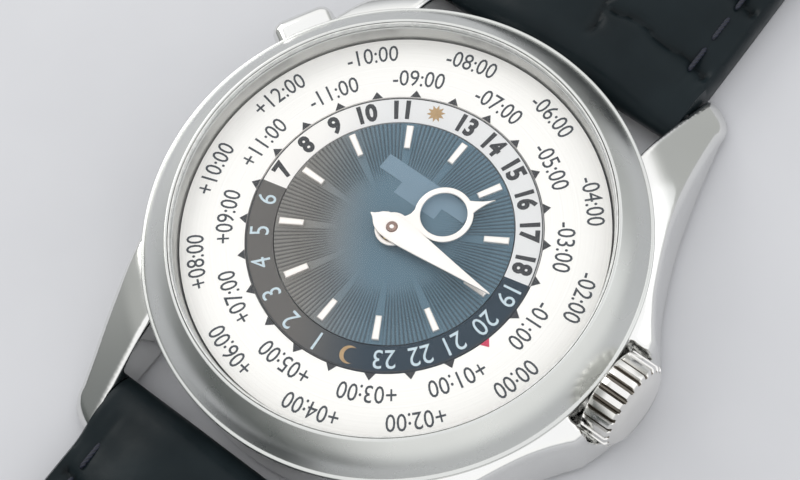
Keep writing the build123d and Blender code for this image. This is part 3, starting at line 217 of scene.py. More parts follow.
def striped_bridge(name, low, high):
    """Rhodium plate with broad straight stripes, each a shallow polished arc."""
    t = material(name)
    wave = t.waves(105, 35, wave_profile="SAW")
    fine = t.noise(5000, 2, (1, 0.05, 1))
    normal = t.bump(fine, 0.000002, 0.5, Normal=t.bump(wave, 0.00006, 0.6))
    return t.surface(1.0, t.between(fine, 0.22, 0.36), t.between(wave, low, high), Normal=normal)


def grained_plate(name, low, high, roughness):
    """Plate with small overlapping circles of graining."""
    t = material(name)
    cells = t.cells(1100)
    return t.surface(1.0, roughness, t.between(cells, low, high), Normal=t.bump(cells, 0.00002, 0.5))


def plain_metal(name, low, high, rough_low, rough_high):
    """Small wheels and springs, with faint grain."""
    t = material(name)
    rough = t.between(t.noise(2500, 3), rough_low, rough_high)
    return t.surface(1.0, rough, t.between(t.noise(700), low, high))


def mottled(name, low, high, rough_low, rough_high, scale=3000, detail=2):
    """A plain stuff whose tone and roughness vary a little, such as printed ink."""
    t = material(name)
    speck = t.noise(scale, detail)
    return t.surface(0.0, t.between(speck, rough_low, rough_high), t.between(speck, low, high))


def ruby_material():
    t = material("ruby")
    colour = t.between(t.noise(900, 2), (0.42, 0.01, 0.05), (0.62, 0.03, 0.1))
    return t.surface(0.0, 0.08, colour, Coat_Weight=0.6, IOR=1.76)


def glass_material(name):
    """A clear pane that lets the lamps through and mirrors by its angle, a little hazy in patches."""
    t = material(name)
    clear = t.add("ShaderNodeBsdfTransparent", Color=(0.995, 0.998, 0.998))
    haze = t.between(t.noise(200, 3), 0.01, 0.05)
    gloss = t.add("ShaderNodeBsdfPrincipled", Metallic=1.0, Base_Color=(0.9, 0.92, 0.95), Roughness=haze)
    # The index turns over on inner sides, where the straight rays would else meet total reflection
    inner = t.add("ShaderNodeNewGeometry").outputs["Backfacing"]
    index = t.share(inner, 0, 1, To_Min=GLASS_INDEX, To_Max=1 / GLASS_INDEX)
    pane = t.add("ShaderNodeMixShader", Fac=t.add("ShaderNodeFresnel", IOR=index).outputs["Fac"])
    t.feed(pane.inputs[1], clear.outputs["BSDF"])
    t.feed(pane.inputs[2], gloss.outputs["BSDF"])
    return t.end(pane, "Shader")


# Painted warm reflection: the dial's lacquer turns from cool to warm this way, between these distances from
# the centre
WARM_REFLECTION_SIDE = (-0.83, -0.56)
WARM_REFLECTION_START = 0.8
WARM_REFLECTION_END = 7.4


def tone(t, cool, warm):
    """Dial lacquer that turns from a cool tone to a warm one towards 8 o'clock, a painted warm reflection.
    """
    along = t.vector("DOT_PRODUCT", t.place, (WARM_REFLECTION_SIDE[0] / MM, WARM_REFLECTION_SIDE[1] / MM, 0))
    return t.ramp(t.share(along, WARM_REFLECTION_START, WARM_REFLECTION_END, "SMOOTHSTEP"), [(0.0, cool), (1.0, warm)])


def guilloche_material():
    """The dial centre's lacquer, with painted shade in the depth of its flutes and a painted warm
    reflection towards 8 o'clock.
    """
    t = material("guilloche_lacquer")
    height = t.add("ShaderNodeSeparateXYZ", Vector=t.place).outputs["Z"]
    # Painted shade: the colour darkens towards the bottom of the flutes
    depth = t.share(height, (DIAL_TOP - FLUTE_DEPTH) * MM, DIAL_TOP * MM)
    colour = tone(t, (0.085, 0.155, 0.205), (0.2, 0.19, 0.175))
    colour = t.mix(1.0, colour, t.ramp(depth, [(0.0, 0.28), (0.7, 1.0)]), "MULTIPLY")
    return t.surface(0.1, t.between(t.noise(12000, 2), 0.42, 0.48), colour, Specular_IOR_Level=0.35)


def lacquer(name, cool, warm, roughness=0.42, gloss=0.3):
    """Smooth dial lacquer with a fine grain, and a painted warm reflection towards 8 o'clock."""
    t = material(name)
    grain = t.noise(3500, 3)
    rough = t.between(grain, roughness - 0.06, roughness + 0.06)
    normal = t.bump(grain, 0.0000006, 0.3)
    return t.surface(0.0, rough, tone(t, cool, warm), Normal=normal, Specular_IOR_Level=gloss)


def satin_white_material():
    """Off-white satin with fine circular brushing."""
    t = material("offset_ring_satin")
    lines = t.circles(7000)
    colour = t.between(lines, (0.91, 0.885, 0.85), (0.97, 0.945, 0.91))
    return t.surface(0.05, t.between(lines, 0.36, 0.46), colour, Normal=t.bump(lines, 0.0000035, 0.6))


def leather_material(name, low, high, grain_scale=1500, gloss=0.11):
    """Matt glazed hide: fine pores and creases, painted shade darkening its furrows, and rougher in
    patches.
    """
    t = material(name)
    crease = t.noise(700, 6)
    normal = t.bump(t.cells(grain_scale), 0.00002, 0.25, Normal=t.bump(crease, 0.00005, 0.3))
    # Painted shade: concave places of the mesh darken the colour
    furrow_shade = t.ramp(t.add("ShaderNodeNewGeometry").outputs["Pointiness"], [(0.4, 0.08), (0.495, 1.0)])
    colour = t.mix(1.0, t.between(t.noise(160, 3), low, high), furrow_shade, "MULTIPLY")
    rough = t.between(crease, 0.28, 0.42)
    return t.surface(0.0, rough, colour, Normal=normal, Specular_IOR_Level=gloss)


def thread_material():
    t = material("stitch_thread")
    ply = t.waves(1500, 30)
    colour = t.between(ply, (0.003, 0.0045, 0.012), (0.007, 0.01, 0.026))
    return t.surface(0.0, 0.6, colour, Normal=t.bump(ply, 0.00003, 0.7))


def floor_material():
    t = material("floor_pale")
    return t.surface(0.0, 0.55, t.between(t.noise(60, 3), (0.545, 0.55, 0.573), (0.573, 0.578, 0.6)))


STEEL = polished_steel("steel_polished", (0.76, 0.76, 0.75), (0.82, 0.82, 0.805), 0.08, 0.14)
BEZEL_STEEL = polished_steel("steel_bezel", (0.6, 0.61, 0.595), (0.66, 0.67, 0.65), 0.25, 0.31)
# Painted shade: dark steel for the faces deep in the crown's grooves
GROOVE_SHADE_STEEL = polished_steel("steel_groove_shade", (0.1, 0.09, 0.075), (0.2, 0.18, 0.155), 0.3, 0.45)
CROWN_STEEL = polished_steel("steel_crown", (0.74, 0.73, 0.7), (0.82, 0.81, 0.79), 0.15, 0.22)
BUCKLE_STEEL = polished_steel("steel_buckle", (0.83, 0.83, 0.82), (0.89, 0.89, 0.88), 0.1, 0.18)
BACK_STEEL = circular_brushed("steel_back", (0.62, 0.62, 0.61), (0.78, 0.78, 0.77), 0.24, 0.36)
FLANGE = circular_brushed("flange_silvered", (0.5, 0.5, 0.49), (0.62, 0.62, 0.6), 0.34, 0.44, 0.000002)
HANDS = polished_steel("hands_polished", (0.93, 0.87, 0.82), (0.97, 0.92, 0.88), 0.3, 0.38, 0.7)
BRIDGE = striped_bridge("bridge_striped", (0.5, 0.5, 0.49), (0.74, 0.74, 0.73))
PLATE = grained_plate("plate_grained", (0.42, 0.42, 0.41), (0.66, 0.66, 0.64), 0.3)
STEEL_PART = plain_metal("steel_part", (0.5, 0.51, 0.53), (0.68, 0.69, 0.7), 0.15, 0.28)
# The spring bars are near black: painted shade that hides their glint in the gap between strap and lug
BAR_SHADE_STEEL = plain_metal("steel_bar_shade", (0.1, 0.1, 0.1), (0.18, 0.18, 0.18), 0.4, 0.5)
BLUED = plain_metal("steel_blued", (0.02, 0.05, 0.22), (0.05, 0.1, 0.36), 0.14, 0.24)
GILT = plain_metal("gilt_brass", (0.72, 0.5, 0.2), (0.86, 0.63, 0.29), 0.18, 0.32)
BALANCE_GILT = plain_metal("balance_gilt", (0.78, 0.56, 0.28), (0.88, 0.68, 0.38), 0.14, 0.24)
ROTOR = circular_brushed("rotor_gold", (0.7, 0.5, 0.26), (0.86, 0.64, 0.36), 0.2, 0.32, centre=ROTOR_CENTRE)
PIN = plain_metal("pin_browned", (0.2, 0.13, 0.11), (0.34, 0.24, 0.2), 0.3, 0.4)
RUBY = ruby_material()
RUBBER = mottled("gasket_rubber", (0.012, 0.012, 0.013), (0.03, 0.03, 0.032), 0.55, 0.7, detail=3)
# The glass seat's pale colour is partly its own and partly a painted highlight for the bright line at the
# glass's edge
GLASS_SEAT = mottled("glass_seat", (0.62, 0.62, 0.6), (0.75, 0.75, 0.73), 0.2, 0.35, 1500)
GLASS = glass_material("glass_front")
BACK_GLASS = glass_material("glass_back")
GUILLOCHE = guilloche_material()
# The plaque's and both day ring halves' cool-to-warm colours are a painted warm reflection towards 8
# o'clock
PLAQUE = lacquer("plaque_lacquer", (0.165, 0.25, 0.32), (0.2, 0.22, 0.235), 0.4)
DAY_PAINT = lacquer("day_half", (0.74, 0.735, 0.735), (0.88, 0.85, 0.82))
NIGHT_PAINT = lacquer("night_half", (0.018, 0.036, 0.055), (0.12, 0.112, 0.105), 0.5, 0.08)
SATIN_WHITE = satin_white_material()
BLACK_INK = mottled("ink_black", (0.006, 0.007, 0.01), (0.014, 0.016, 0.02), 0.42, 0.58)
SLATE_INK = mottled("ink_slate", (0.013, 0.019, 0.028), (0.022, 0.031, 0.042), 0.42, 0.58)
PALE_INK = mottled("ink_pale", (0.5, 0.61, 0.67), (0.6, 0.7, 0.75), 0.42, 0.58)
CRIMSON_INK = mottled("ink_crimson", (0.5, 0.012, 0.06), (0.62, 0.024, 0.09), 0.42, 0.58)
GOLD_INK = mottled("ink_gold", (0.36, 0.22, 0.09), (0.46, 0.3, 0.14), 0.32, 0.48)
LEATHER = leather_material("strap_leather", (0.006, 0.01, 0.012), (0.0105, 0.0165, 0.0195))
LINING = leather_material("strap_lining", (0.018, 0.02, 0.022), (0.034, 0.037, 0.04), 2600)
THREAD = thread_material()


# Mesh helpers
def bands(rows, count, base=0, closed=True, loop=True):
    """Four-sided faces between rows of count points; closed joins the last row to the first."""
    faces = []
    for row in range(rows if closed else rows - 1):
        here, there = base + row * count, base + (row + 1) % rows * count
        for i in range(count if loop else count - 1):
            j = (i + 1) % count
            faces.append((here + i, here + j, there + j, there + i))
    return faces


def ends(rows, count, base=0):
    """The faces that fill the first and the last row."""
    first = tuple(range(base, base + count))
    return [first, tuple(i + (rows - 1) * count for i in first)]


def add_mesh(name, points, faces, materials, sharp=32, indices=None, weld=True):
    """Make an object, smooth up to a sharp angle in degrees; indices say each face's material."""
    mesh = bpy.data.meshes.new(name)
    mesh.from_pydata([(x * MM, y * MM, z * MM) for x, y, z in points], [], faces)
    for entry in materials:
        mesh.materials.append(entry)
    if indices:
        mesh.polygons.foreach_set("material_index", indices)
    shape = bmesh.new()
    shape.from_mesh(mesh)
    if weld:
        bmesh.ops.remove_doubles(shape, verts=shape.verts, dist=0.0005 * MM)
        bmesh.ops.recalc_face_normals(shape, faces=shape.faces)
    shape.to_mesh(mesh)
    shape.free()
    mesh.shade_smooth()
    mesh.set_sharp_from_angle(angle=math.radians(sharp))
    return linked(name, mesh)


def dress(piece, body, slot, *replaced):
    """Let a piece ride on its body and stand for CAD nodes; its slot is not used."""
    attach(piece, body)
    if replaced:
        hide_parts(*replaced)


def eased_corners(corners, steps=4):
    """Round the corners (a, b, cut) of a closed outline, each by its own cut along both sides."""
    outline = []
    count = len(corners)
    for index, (a, b, cut) in enumerate(corners):
        here = Vector((a, b))
        if cut <= 0:
            outline.append((a, b))
            continue
        before = Vector(corners[index - 1][:2]) - here
        after = Vector(corners[(index + 1) % count][:2]) - here
        start = here + before.normalized() * min(cut, before.length * 0.5)
        end = here + after.normalized() * min(cut, after.length * 0.5)
        for step in range(steps + 1):
            t = step / steps
            point = start * (1 - t) ** 2 + here * 2 * t * (1 - t) + end * t**2
            outline.append((point.x, point.y))
    return outline


def rectangle(a0, b0, a1, b1, low_cut=0.0, high_cut=0.0, steps=4):
    """An upright rectangle, its corners at b0 and at b1 each rounded by their own cut."""
    corners = [(a0, b0, low_cut), (a1, b0, low_cut), (a1, b1, high_cut), (a0, b1, high_cut)]
    return eased_corners(corners, steps)


def ring(name, outline, columns, materials, sharp=32, loop=True, start=0.0):
    """Turn an outline about Z, or one given for each clock angle; materials share the turn evenly."""
    points = []
    for column in range(columns):
        angle = start + TURN * column / columns
        section = outline(angle) if callable(outline) else outline
        points += [(r * math.sin(angle), r * math.cos(angle), z) for r, z in section]
    faces = bands(columns, len(points) // columns, loop=loop)
    paints = [len(materials) * face // len(faces) for face in range(len(faces))]
    return add_mesh(name, points, faces, materials, sharp, paints)


def smoothstep(low, high, value):
    t = min(1.0, max(0.0, (value - low) / (high - low)))
    return t * t * (3 - 2 * t)


def drawn(name, splines, low, high, bevel, entry, turn=0.0, sharp=40):
    """A flat shape of closed outlines, extruded between two heights with eased edges and turned about Z."""
    curve = put(bpy.data.curves.new(name, "CURVE"), dimensions="2D", fill_mode="BOTH")
    put(curve, extrude=(high - low) / 2 - bevel, bevel_depth=bevel, bevel_resolution=2, offset=-bevel)
    for outline in splines:
        spline = curve.splines.new("POLY")
        spline.points.add(len(outline) - 1)
        for point, (x, y) in zip(spline.points, outline):
            point.co = (x, y, 0, 1)
        spline.use_cyclic_u = True
    points, faces = curve_mesh(curve)
    rotation = Matrix.Rotation(turn, 3, "Z")
    middle = Vector((0, 0, (high + low) / 2))
    points = [tuple(rotation @ Vector(p) + middle) for p in points]
    return add_mesh(name, points, faces, [entry], sharp)


def curve_mesh(curve):
    """The points and faces of a curve or of lettering, which is then removed."""
    holder = linked("outline", curve)
    mesh = evaluated_mesh(holder)
    points = [tuple(v.co) for v in mesh.vertices]
    faces = [tuple(p.vertices) for p in mesh.polygons]
    bpy.data.objects.remove(holder)
    bpy.data.meshes.remove(mesh)
    return points, faces


def arc(centre, radius, start, end, count):
    """Points along an arc in degrees from +X, about a centre on the X axis."""
    angles = [math.radians(start + (end - start) * step / count) for step in range(count + 1)]
    return [(centre + radius * math.cos(a), radius * math.sin(a)) for a in angles]


def prism(points, faces, outline, low, high):
    """Add an upright prism over a flat outline."""
    base, count = len(points), len(outline)
    points += [(x, y, z) for z in (low, high) for x, y in outline]
    bottom, top = ends(2, count, base)
    faces += [bottom[::-1], top] + bands(2, count, base, closed=False)


def polar(radius, degrees):
    """A point at a clock angle."""
    a = math.radians(degrees)
    return (radius * math.sin(a), radius * math.cos(a))


# Case middle: the CAD form's planes, cones and bores again as distances, with soft edges, meshed finely
BAND_LOW = 0.5
BAND_HIGH = 6.7
BAND_RADIUS = 19.35
FLANK_DRAFT = math.radians(4)
LUG_GAP_HALF = 11.0
LUG_TIP = (11.4, 23.0)
LUG_TIP_ROUND = 2.6
LUG_ROOT = [(14.0, 22.9), (14.55, 20.6), (15.5, 17.1)]
RIGHT_SIDE = LUG_ROOT + [(16.85, 13.0), (18.7, 8.9), (20.0, 6.7), (21.3, 4.95)]
LEFT_SIDE = LUG_ROOT + [(16.6, 12.6), (17.5, 8.6)]
GUARD_PEAK = 22.25
GUARD_DROP = 1.05
GUARD_REACH = 4.95
GUARD_STEP = 0.33

# Slopes of the top, each a (radius, height) and the direction it faces there
SHOULDER = ((20.2, 6.6), (0.53, 0.848))
TOE = ((24.2, 4.55), (0.6197, 0.785))
FOOT = ((28.5, 1.1), (0.9615, 0.2747))

# Hollows: the bore for the movement, the back's seat, and the crown's and the pusher's recesses and bores
BORE_RADIUS = 16.62
SEAT_RADIUS = 17.62
SEAT_HEIGHT = 1.62
CROWN_RECESS = 3.95
CROWN_RECESS_START = 19.4
CROWN_BORE = 1.3
PUSHER_ANGLE = math.radians(150)
POCKET_HALF = (1.4, 0.25)
POCKET_ROUND = 1.3
POCKET_START = 17.6
PUSHER_BORE = 1.0
BORE_START = 15.0

CASE_CELL = 0.2
CASE_LOW = (-20.3, -26.3, 0.1)
CASE_HIGH = (22.9, 26.3, 7.0)
SURFACE_STEPS = 8
SURFACE_NUDGE = 0.002
SURFACE_STEP = 0.06


def through(points, count):
    """A smooth line through points, with a number of steps between each two."""
    line = []
    for i in range(len(points) - 1):
        a = Vector(points[max(0, i - 1)])
        b, c = Vector(points[i]), Vector(points[i + 1])
        d = Vector(points[min(len(points) - 1, i + 2)])
        for step in range(count):
            t = step / count
            rise = (c - a) * t + (2 * a - 5 * b + 4 * c - d) * t**2 + (3 * b - a - 3 * c + d) * t**3
            line.append(tuple(b + 0.5 * rise))
    return line + [tuple(points[-1])]


def case_outline():
    """The case's outline from above: lugs with round tips, hollows and the crown's guards."""
    tip = []
    for step in range(15):
        across, along = polar(LUG_TIP_ROUND, 6 * step)
        tip.append((LUG_TIP[0] + across, LUG_TIP[1] + along))
    right = tip + through(RIGHT_SIDE, 12)
    left = tip + through(LEFT_SIDE, 12)
    guard = []
    for step in range(1, 30):
        y = GUARD_REACH - GUARD_STEP * step
        guard.append((GUARD_PEAK - GUARD_DROP * (y / GUARD_REACH) ** 2, y))
    lower = [(x, -y) for x, y in reversed(right)]
    lower_left = [(-x, -y) for x, y in left]
    upper_left = [(-x, y) for x, y in reversed(left)]
    return np.array(right + guard + lower + lower_left + upper_left)


def outline_distance(x, y, outline):
    """Signed distance to the outline, less than 0 inside, and its direction."""
    best = np.full(x.shape, 1e9)
    dir_x, dir_y = np.zeros(x.shape), np.zeros(x.shape)
    inside = np.zeros(x.shape, bool)
    for (ax, ay), (bx, by) in zip(outline, np.roll(outline, -1, axis=0)):
        ex, ey = bx - ax, by - ay
        span = ex * ex + ey * ey
        if span < 1e-12:
            continue
        t = np.clip(((x - ax) * ex + (y - ay) * ey) / span, 0, 1)
        gx, gy = x - ax - ex * t, y - ay - ey * t
        gap = gx * gx + gy * gy
        closer = gap < best
        best = np.where(closer, gap, best)
        dir_x = np.where(closer, gx, dir_x)
        dir_y = np.where(closer, gy, dir_y)
        inside ^= ((ay > y) != (by > y)) & (x < ex * (y - ay) / (ey if ey else 1e-12) + ax)
    length = np.sqrt(best)
    sign = np.where(inside, -1.0, 1.0)
    safe = np.maximum(length, 1e-9)
    return sign * length, sign * dir_x / safe, sign * dir_y / safe


def soft_max(a, b, k):
    """The larger of two distances, eased over k where they meet."""
    h = np.maximum(k - np.abs(a - b), 0) / k
    return np.maximum(a, b) + h * h * k / 4


def soft_min(a, b, k):
    return -soft_max(-a, -b, k)


def beyond(r, z, slope):
    """How far a place is outside a slope."""
    (r0, z0), (nr, nz) = slope
    return (r - r0) * nr + (z - z0) * nz


def case_distance(x, y, z, flank):
    """Signed distance to the case middle; flank is the distance to its outline from above."""
    r = np.hypot(x, y)
    side = (flank + (z - BAND_LOW) * math.tan(FLANK_DRAFT)) * math.cos(FLANK_DRAFT)
    lugs = soft_max(side, LUG_GAP_HALF - np.abs(x), 0.6)
    solid = soft_min(lugs, r - BAND_RADIUS, 0.2)
    top = soft_max(beyond(r, z, SHOULDER), beyond(r, z, TOE), 1.6)
    top = soft_max(top, beyond(r, z, FOOT), 1.2)
    top = soft_max(top, z - BAND_HIGH, 1.2)
    solid = soft_max(solid, top, 0.55)
    solid = soft_max(solid, BAND_LOW - z, 0.3)
    solid = np.maximum(solid, BORE_RADIUS - r)
    solid = np.maximum(solid, -np.maximum(r - SEAT_RADIUS, z - SEAT_HEIGHT))
    reach = np.hypot(y, z - STEM_HEIGHT)
    solid = soft_max(solid, -np.maximum(reach - CROWN_RECESS, CROWN_RECESS_START - x), 0.3)
    solid = np.maximum(solid, -np.maximum(reach - CROWN_BORE, BORE_START - x))
    cos, sin = math.cos(PUSHER_ANGLE), math.sin(PUSHER_ANGLE)
    u, v, w = x * cos + y * sin, -x * sin + y * cos, z - STEM_HEIGHT
    qx, qy = np.abs(v) - POCKET_HALF[0], np.abs(w) - POCKET_HALF[1]
    pocket = np.hypot(np.maximum(qx, 0), np.maximum(qy, 0)) + np.minimum(np.maximum(qx, qy), 0)
    solid = soft_max(solid, -np.maximum(pocket - POCKET_ROUND, POCKET_START - u), 0.25)
    return np.maximum(solid, -np.maximum(np.hypot(v, w) - PUSHER_BORE, BORE_START - u))


def make_case():
    outline = case_outline()
    low = np.array(CASE_LOW)
    counts = np.ceil((np.array(CASE_HIGH) - low) / CASE_CELL).astype(int) + 1
    axes = [low[i] + CASE_CELL * np.arange(counts[i]) for i in range(3)]
    plan = outline_distance(*np.meshgrid(axes[0], axes[1], indexing="ij"), outline)[0]
    value = case_distance(*np.meshgrid(*axes, indexing="ij"), plan[:, :, None])
    points, faces = surface_net(value, low)
    place = (points.copy(), *outline_distance(points[:, 0], points[:, 1], outline))
    for _ in range(SURFACE_STEPS):
        points = toward_surface(points, *place)
    piece = add_mesh("case_polished", points.tolist(), faces.tolist(), [STEEL], 60, weld=False)
    dress(piece, "case", "case_steel", "case_middle")


def toward_surface(points, start, flank, dir_x, dir_y):
    """One step of the points towards the case's surface."""

    def distance(at):
        moved = at - start
        return case_distance(*at.T, flank + dir_x * moved[:, 0] + dir_y * moved[:, 1])

    here = distance(points)
    nudged = [distance(points + SURFACE_NUDGE * axis) for axis in np.eye(3)]
    slope = np.stack([(there - here) / SURFACE_NUDGE for there in nudged], axis=1)
    steep = np.maximum((slope**2).sum(axis=1), 0.2)
    return points - np.clip(here / steep, -SURFACE_STEP, SURFACE_STEP)[:, None] * slope


def surface_net(value, low):
    """Points and four-sided faces of the zero surface in a grid of distances."""
    total = np.zeros((*value.shape, 3))
    hits = np.zeros(value.shape)
    quads = []
    for axis in range(3):
        one, two = [i for i in range(3) if i != axis]
        a, b = np.delete(value, -1, axis), np.delete(value, 0, axis)
        edges = np.argwhere((a < 0) != (b < 0))
        here = tuple(edges.T)
        crossing = edges.astype(float)
        crossing[:, axis] += (a / (a - b))[here]
        cells = []
        for back_one, back_two in ((1, 1), (0, 1), (0, 0), (1, 0)):
            cell = edges.copy()
            cell[:, one] -= back_one
            cell[:, two] -= back_two
            cells.append(tuple(cell.T))
            np.add.at(total, cells[-1], crossing)
            np.add.at(hits, cells[-1], 1)
        quads.append((cells, (a[here] < 0) ^ (axis == 1)))
    active = hits > 0
    index = np.full(value.shape, -1)
    index[active] = np.arange(active.sum())
    faces = []
    for cells, outward in quads:
        face = np.stack([index[cell] for cell in cells], axis=1)
        face[~outward] = face[~outward][:, ::-1]
        faces.append(face)
    return low + total[active] / hits[active][:, None] * CASE_CELL, np.concatenate(faces)


# Bezel, flange ring and glass: corners of (radius, height, cut)
BEZEL_CORNERS = [
    (17.14, 6.52, 0.0),
    (19.75, 6.52, 0.06),
    (19.75, 6.84, 0.13),
    (19.47, 6.86, 0.06),
    (18.63, 8.14, 0.9),
    (17.36, 9.3, 0.07),
    (17.14, 9.3, 0.06),
]
FLANGE_CORNERS = [(16.65, 6.52, 0), (17.12, 6.52, 0), (17.12, 8.76, 0.03), (16.83, 8.76, 0.08)]
GLASS_SEAT_SIDES = (16.97, 8.78, 17.09, 9.28)
GLASS_RIM = 16.72
GLASS_EDGE = 9.52
GLASS_DOME = 0.2
GLASS_STEPS = 24
GLASS_SIDE = [(16.9, 9.44), (16.95, 9.3), (16.95, 8.86), (16.88, 8.78), (0.0, 8.78)]


def make_bezel():
    bezel = ring("bezel_ring", eased_corners(BEZEL_CORNERS, 6), 288, [BEZEL_STEEL], 24)
    dress(bezel, "case", "case_steel", "bezel")


def make_flange():
    dress(ring("flange_ring", eased_corners(FLANGE_CORNERS, 3), 240, [FLANGE]), "case", "flange", "rehaut")


def make_glass():
    """The slightly domed front glass and the pale ring that seats it, its pale colour partly its own and
    partly a painted highlight along the glass's edge.
    """
    outline = []
    for step in range(GLASS_STEPS + 1):
        share = step / GLASS_STEPS
        outline.append((GLASS_RIM * share, GLASS_EDGE + GLASS_DOME * (1 - share**2)))
    pane = ring("front_glass", outline + GLASS_SIDE, 192, [GLASS], 20, loop=False)
    dress(pane, "case", "glass", "crystal")
    seat = ring("glass_seat_ring", rectangle(*GLASS_SEAT_SIDES, 0.02, 0.03, 2), 192, [GLASS_SEAT])
    dress(seat, "case", "gasket", "crystal_gasket")


# Dial centre: fine radial flutes with a plain ray to each baton
FLUTES = 14
FLUTE_SAMPLES = 4
DIAL_RINGS = 26
RAY_START = 2.6
RAY_HALF = 0.3
RAY_EASE = 0.12
FADE_START = 2.4
FADE_END = 6.6
MARKER_INNER = 6.94
MARKER_OUTER = 8.94
PLAQUE_TOP = [(-4.3, 3.62), (-4.3, 5.0), (3.9, 5.0), (3.9, 3.62)]
PLAQUE_FOOT = [(1.85, 3.62), (1.85, 2.6), (-2.05, 2.6), (-2.05, 3.62)]


def flute_depth(radius, angle):
    """How far a flute is cut at a place, nothing on the plain rays and at the centre."""
    step = math.radians(30)
    beside = abs(angle - round(angle / step) * step)
    wave = 0.5 - 0.5 * math.cos(math.pi * beside / step * 2 * FLUTES)
    ray_half = RAY_HALF * max(0.0, radius - RAY_START) / (MARKER_INNER - RAY_START)
    clear = smoothstep(ray_half, ray_half + RAY_EASE, beside * radius)
    return FLUTE_DEPTH * wave * clear * smoothstep(FADE_START, FADE_END, radius)


def make_dial():
    """The fluted disc and the blank plate of two tiers on it."""
    span = DIAL_RADIUS - 0.03 - PIPE_CLEARANCE
    radii = [PIPE_CLEARANCE + span * i / DIAL_RINGS for i in range(DIAL_RINGS + 1)]

    def outline(angle):
        top = [(r, DIAL_TOP - flute_depth(r, angle)) for r in radii]
        return top + [(DIAL_RADIUS, DIAL_TOP - 0.04), (DIAL_RADIUS, RING_LOW), (PIPE_CLEARANCE, RING_LOW)]

    disc = ring("guilloche_disc", outline, 12 * FLUTES * FLUTE_SAMPLES, [GUILLOCHE], 50)
    dress(disc, "case", "dial", "dial_centre")
    tiers = [PLAQUE_TOP + PLAQUE_FOOT]
    plaque = drawn("blank_plaque", tiers, DIAL_TOP - 0.05, DIAL_TOP + 0.012, 0.01, PLAQUE)
    dress(plaque, "case", "dial")


# A baton's sections from its foot up: height over the dial, inset at both ends, half widths there
MARKER_SECTIONS = [(-0.06, 0.04, 0.23, 0.27), (0.25, 0.04, 0.23, 0.27), (0.3, 0.1, 0.17, 0.21)]
AROUND = ((-1, -1), (1, -1), (1, 1), (-1, 1))


def make_markers():
    points, faces = [], []
    for marker in range(12):
        angle = math.radians(30 * marker)
        out = Vector((math.sin(angle), math.cos(angle), 0))
        side = Vector((math.cos(angle), -math.sin(angle), 0))
        base = len(points)
        for rise, inset, inner_half, outer_half in MARKER_SECTIONS:
            for sign, end in AROUND:
                radius, half = MARKER_INNER + inset, inner_half
                if end > 0:
                    radius, half = MARKER_OUTER - inset, outer_half
                points.append(tuple(out * radius + side * sign * half + Vector((0, 0, DIAL_TOP + rise))))
        faces += bands(3, 4, base, closed=False) + ends(3, 4, base)
    dress(add_mesh("baton_markers", points, faces, [HANDS], 10), "case", "hands", "hour_markers")


# Lettering set round the dial
def glyphs(text, height, squeeze, weight):
    """Points and faces of one label, centred, with z 0 below and 1 above."""
    curve = put(bpy.data.curves.new("lettering", "FONT"), body=text, size=1, resolution_u=3)
    put(curve, extrude=0.01, offset=weight, align_x="CENTER")
    points, faces = curve_mesh(curve)
    across, up = [p[0] for p in points], [p[1] for p in points]
    x0, y0 = (min(across) + max(across)) / 2, (min(up) + max(up)) / 2
    scale = height / (max(up) - min(up))
    return [((x - x0) * scale * squeeze, (y - y0) * scale, float(z > 0)) for x, y, z in points], faces


def bent_labels(name, labels, height, squeeze, weight, entry, body, slot):
    """Labels (text, clock degrees, radius) bent round the dial, tops outwards, as one raised print."""
    points, faces = [], []
    for text, degrees, radius in labels:
        placed, own = glyphs(text, height, squeeze, weight)
        base = len(points)
        for x, y, z in placed:
            across, along = polar(radius + y, degrees + math.degrees(x / radius))
            points.append((across, along, PRINT_LOW + z * (PRINT_HIGH - PRINT_LOW)))
        faces += [tuple(base + i for i in face) for face in own]
    dress(add_mesh(name, points, faces, [entry], 30, weld=False), body, slot)


# Day ring, in two halves of its own paint
DAY_STARTS = math.radians(-102.5)
DAY_LINE = (11.3, 11.39)
HOUR_STEP = 15.0
HOUR_SHIFT = -5.0
NUMERAL_RADIUS = 10.37
SUN_RAYS = 10
SUN_REACH = (0.74, 0.42)
MOON_STEPS = 18


def hour_angle(hour):
    return HOUR_STEP * (hour - 13) + HOUR_SHIFT


def make_day_ring():
    outline = rectangle(DAY_INNER, RING_LOW, DAY_OUTER, DIAL_TOP, 0, RING_EASE, 2)
    whole = ring("day_night_ring", outline, 288, [DAY_PAINT, NIGHT_PAINT], 30, start=DAY_STARTS)
    dress(whole, "day_ring", "day_ring", "day_ring")
    line = rectangle(DAY_LINE[0], PRINT_LOW, DAY_LINE[1], PRINT_HIGH)
    dress(ring("day_ring_line", line, 240, [BLACK_INK]), "day_ring", "day_ring")
    day = [(str(hour), hour_angle(hour), NUMERAL_RADIUS) for hour in range(7, 19) if hour != 12]
    night = [(str(hour % 24), hour_angle(hour), NUMERAL_RADIUS) for hour in range(19, 31) if hour != 24]
    bent_labels("day_numerals", day, 1.6, 0.88, 0.045, BLACK_INK, "day_ring", "day_ring")
    bent_labels("night_numerals", night, 1.5, 0.88, 0.0, PALE_INK, "day_ring", "day_ring")
    make_sun_and_moon()


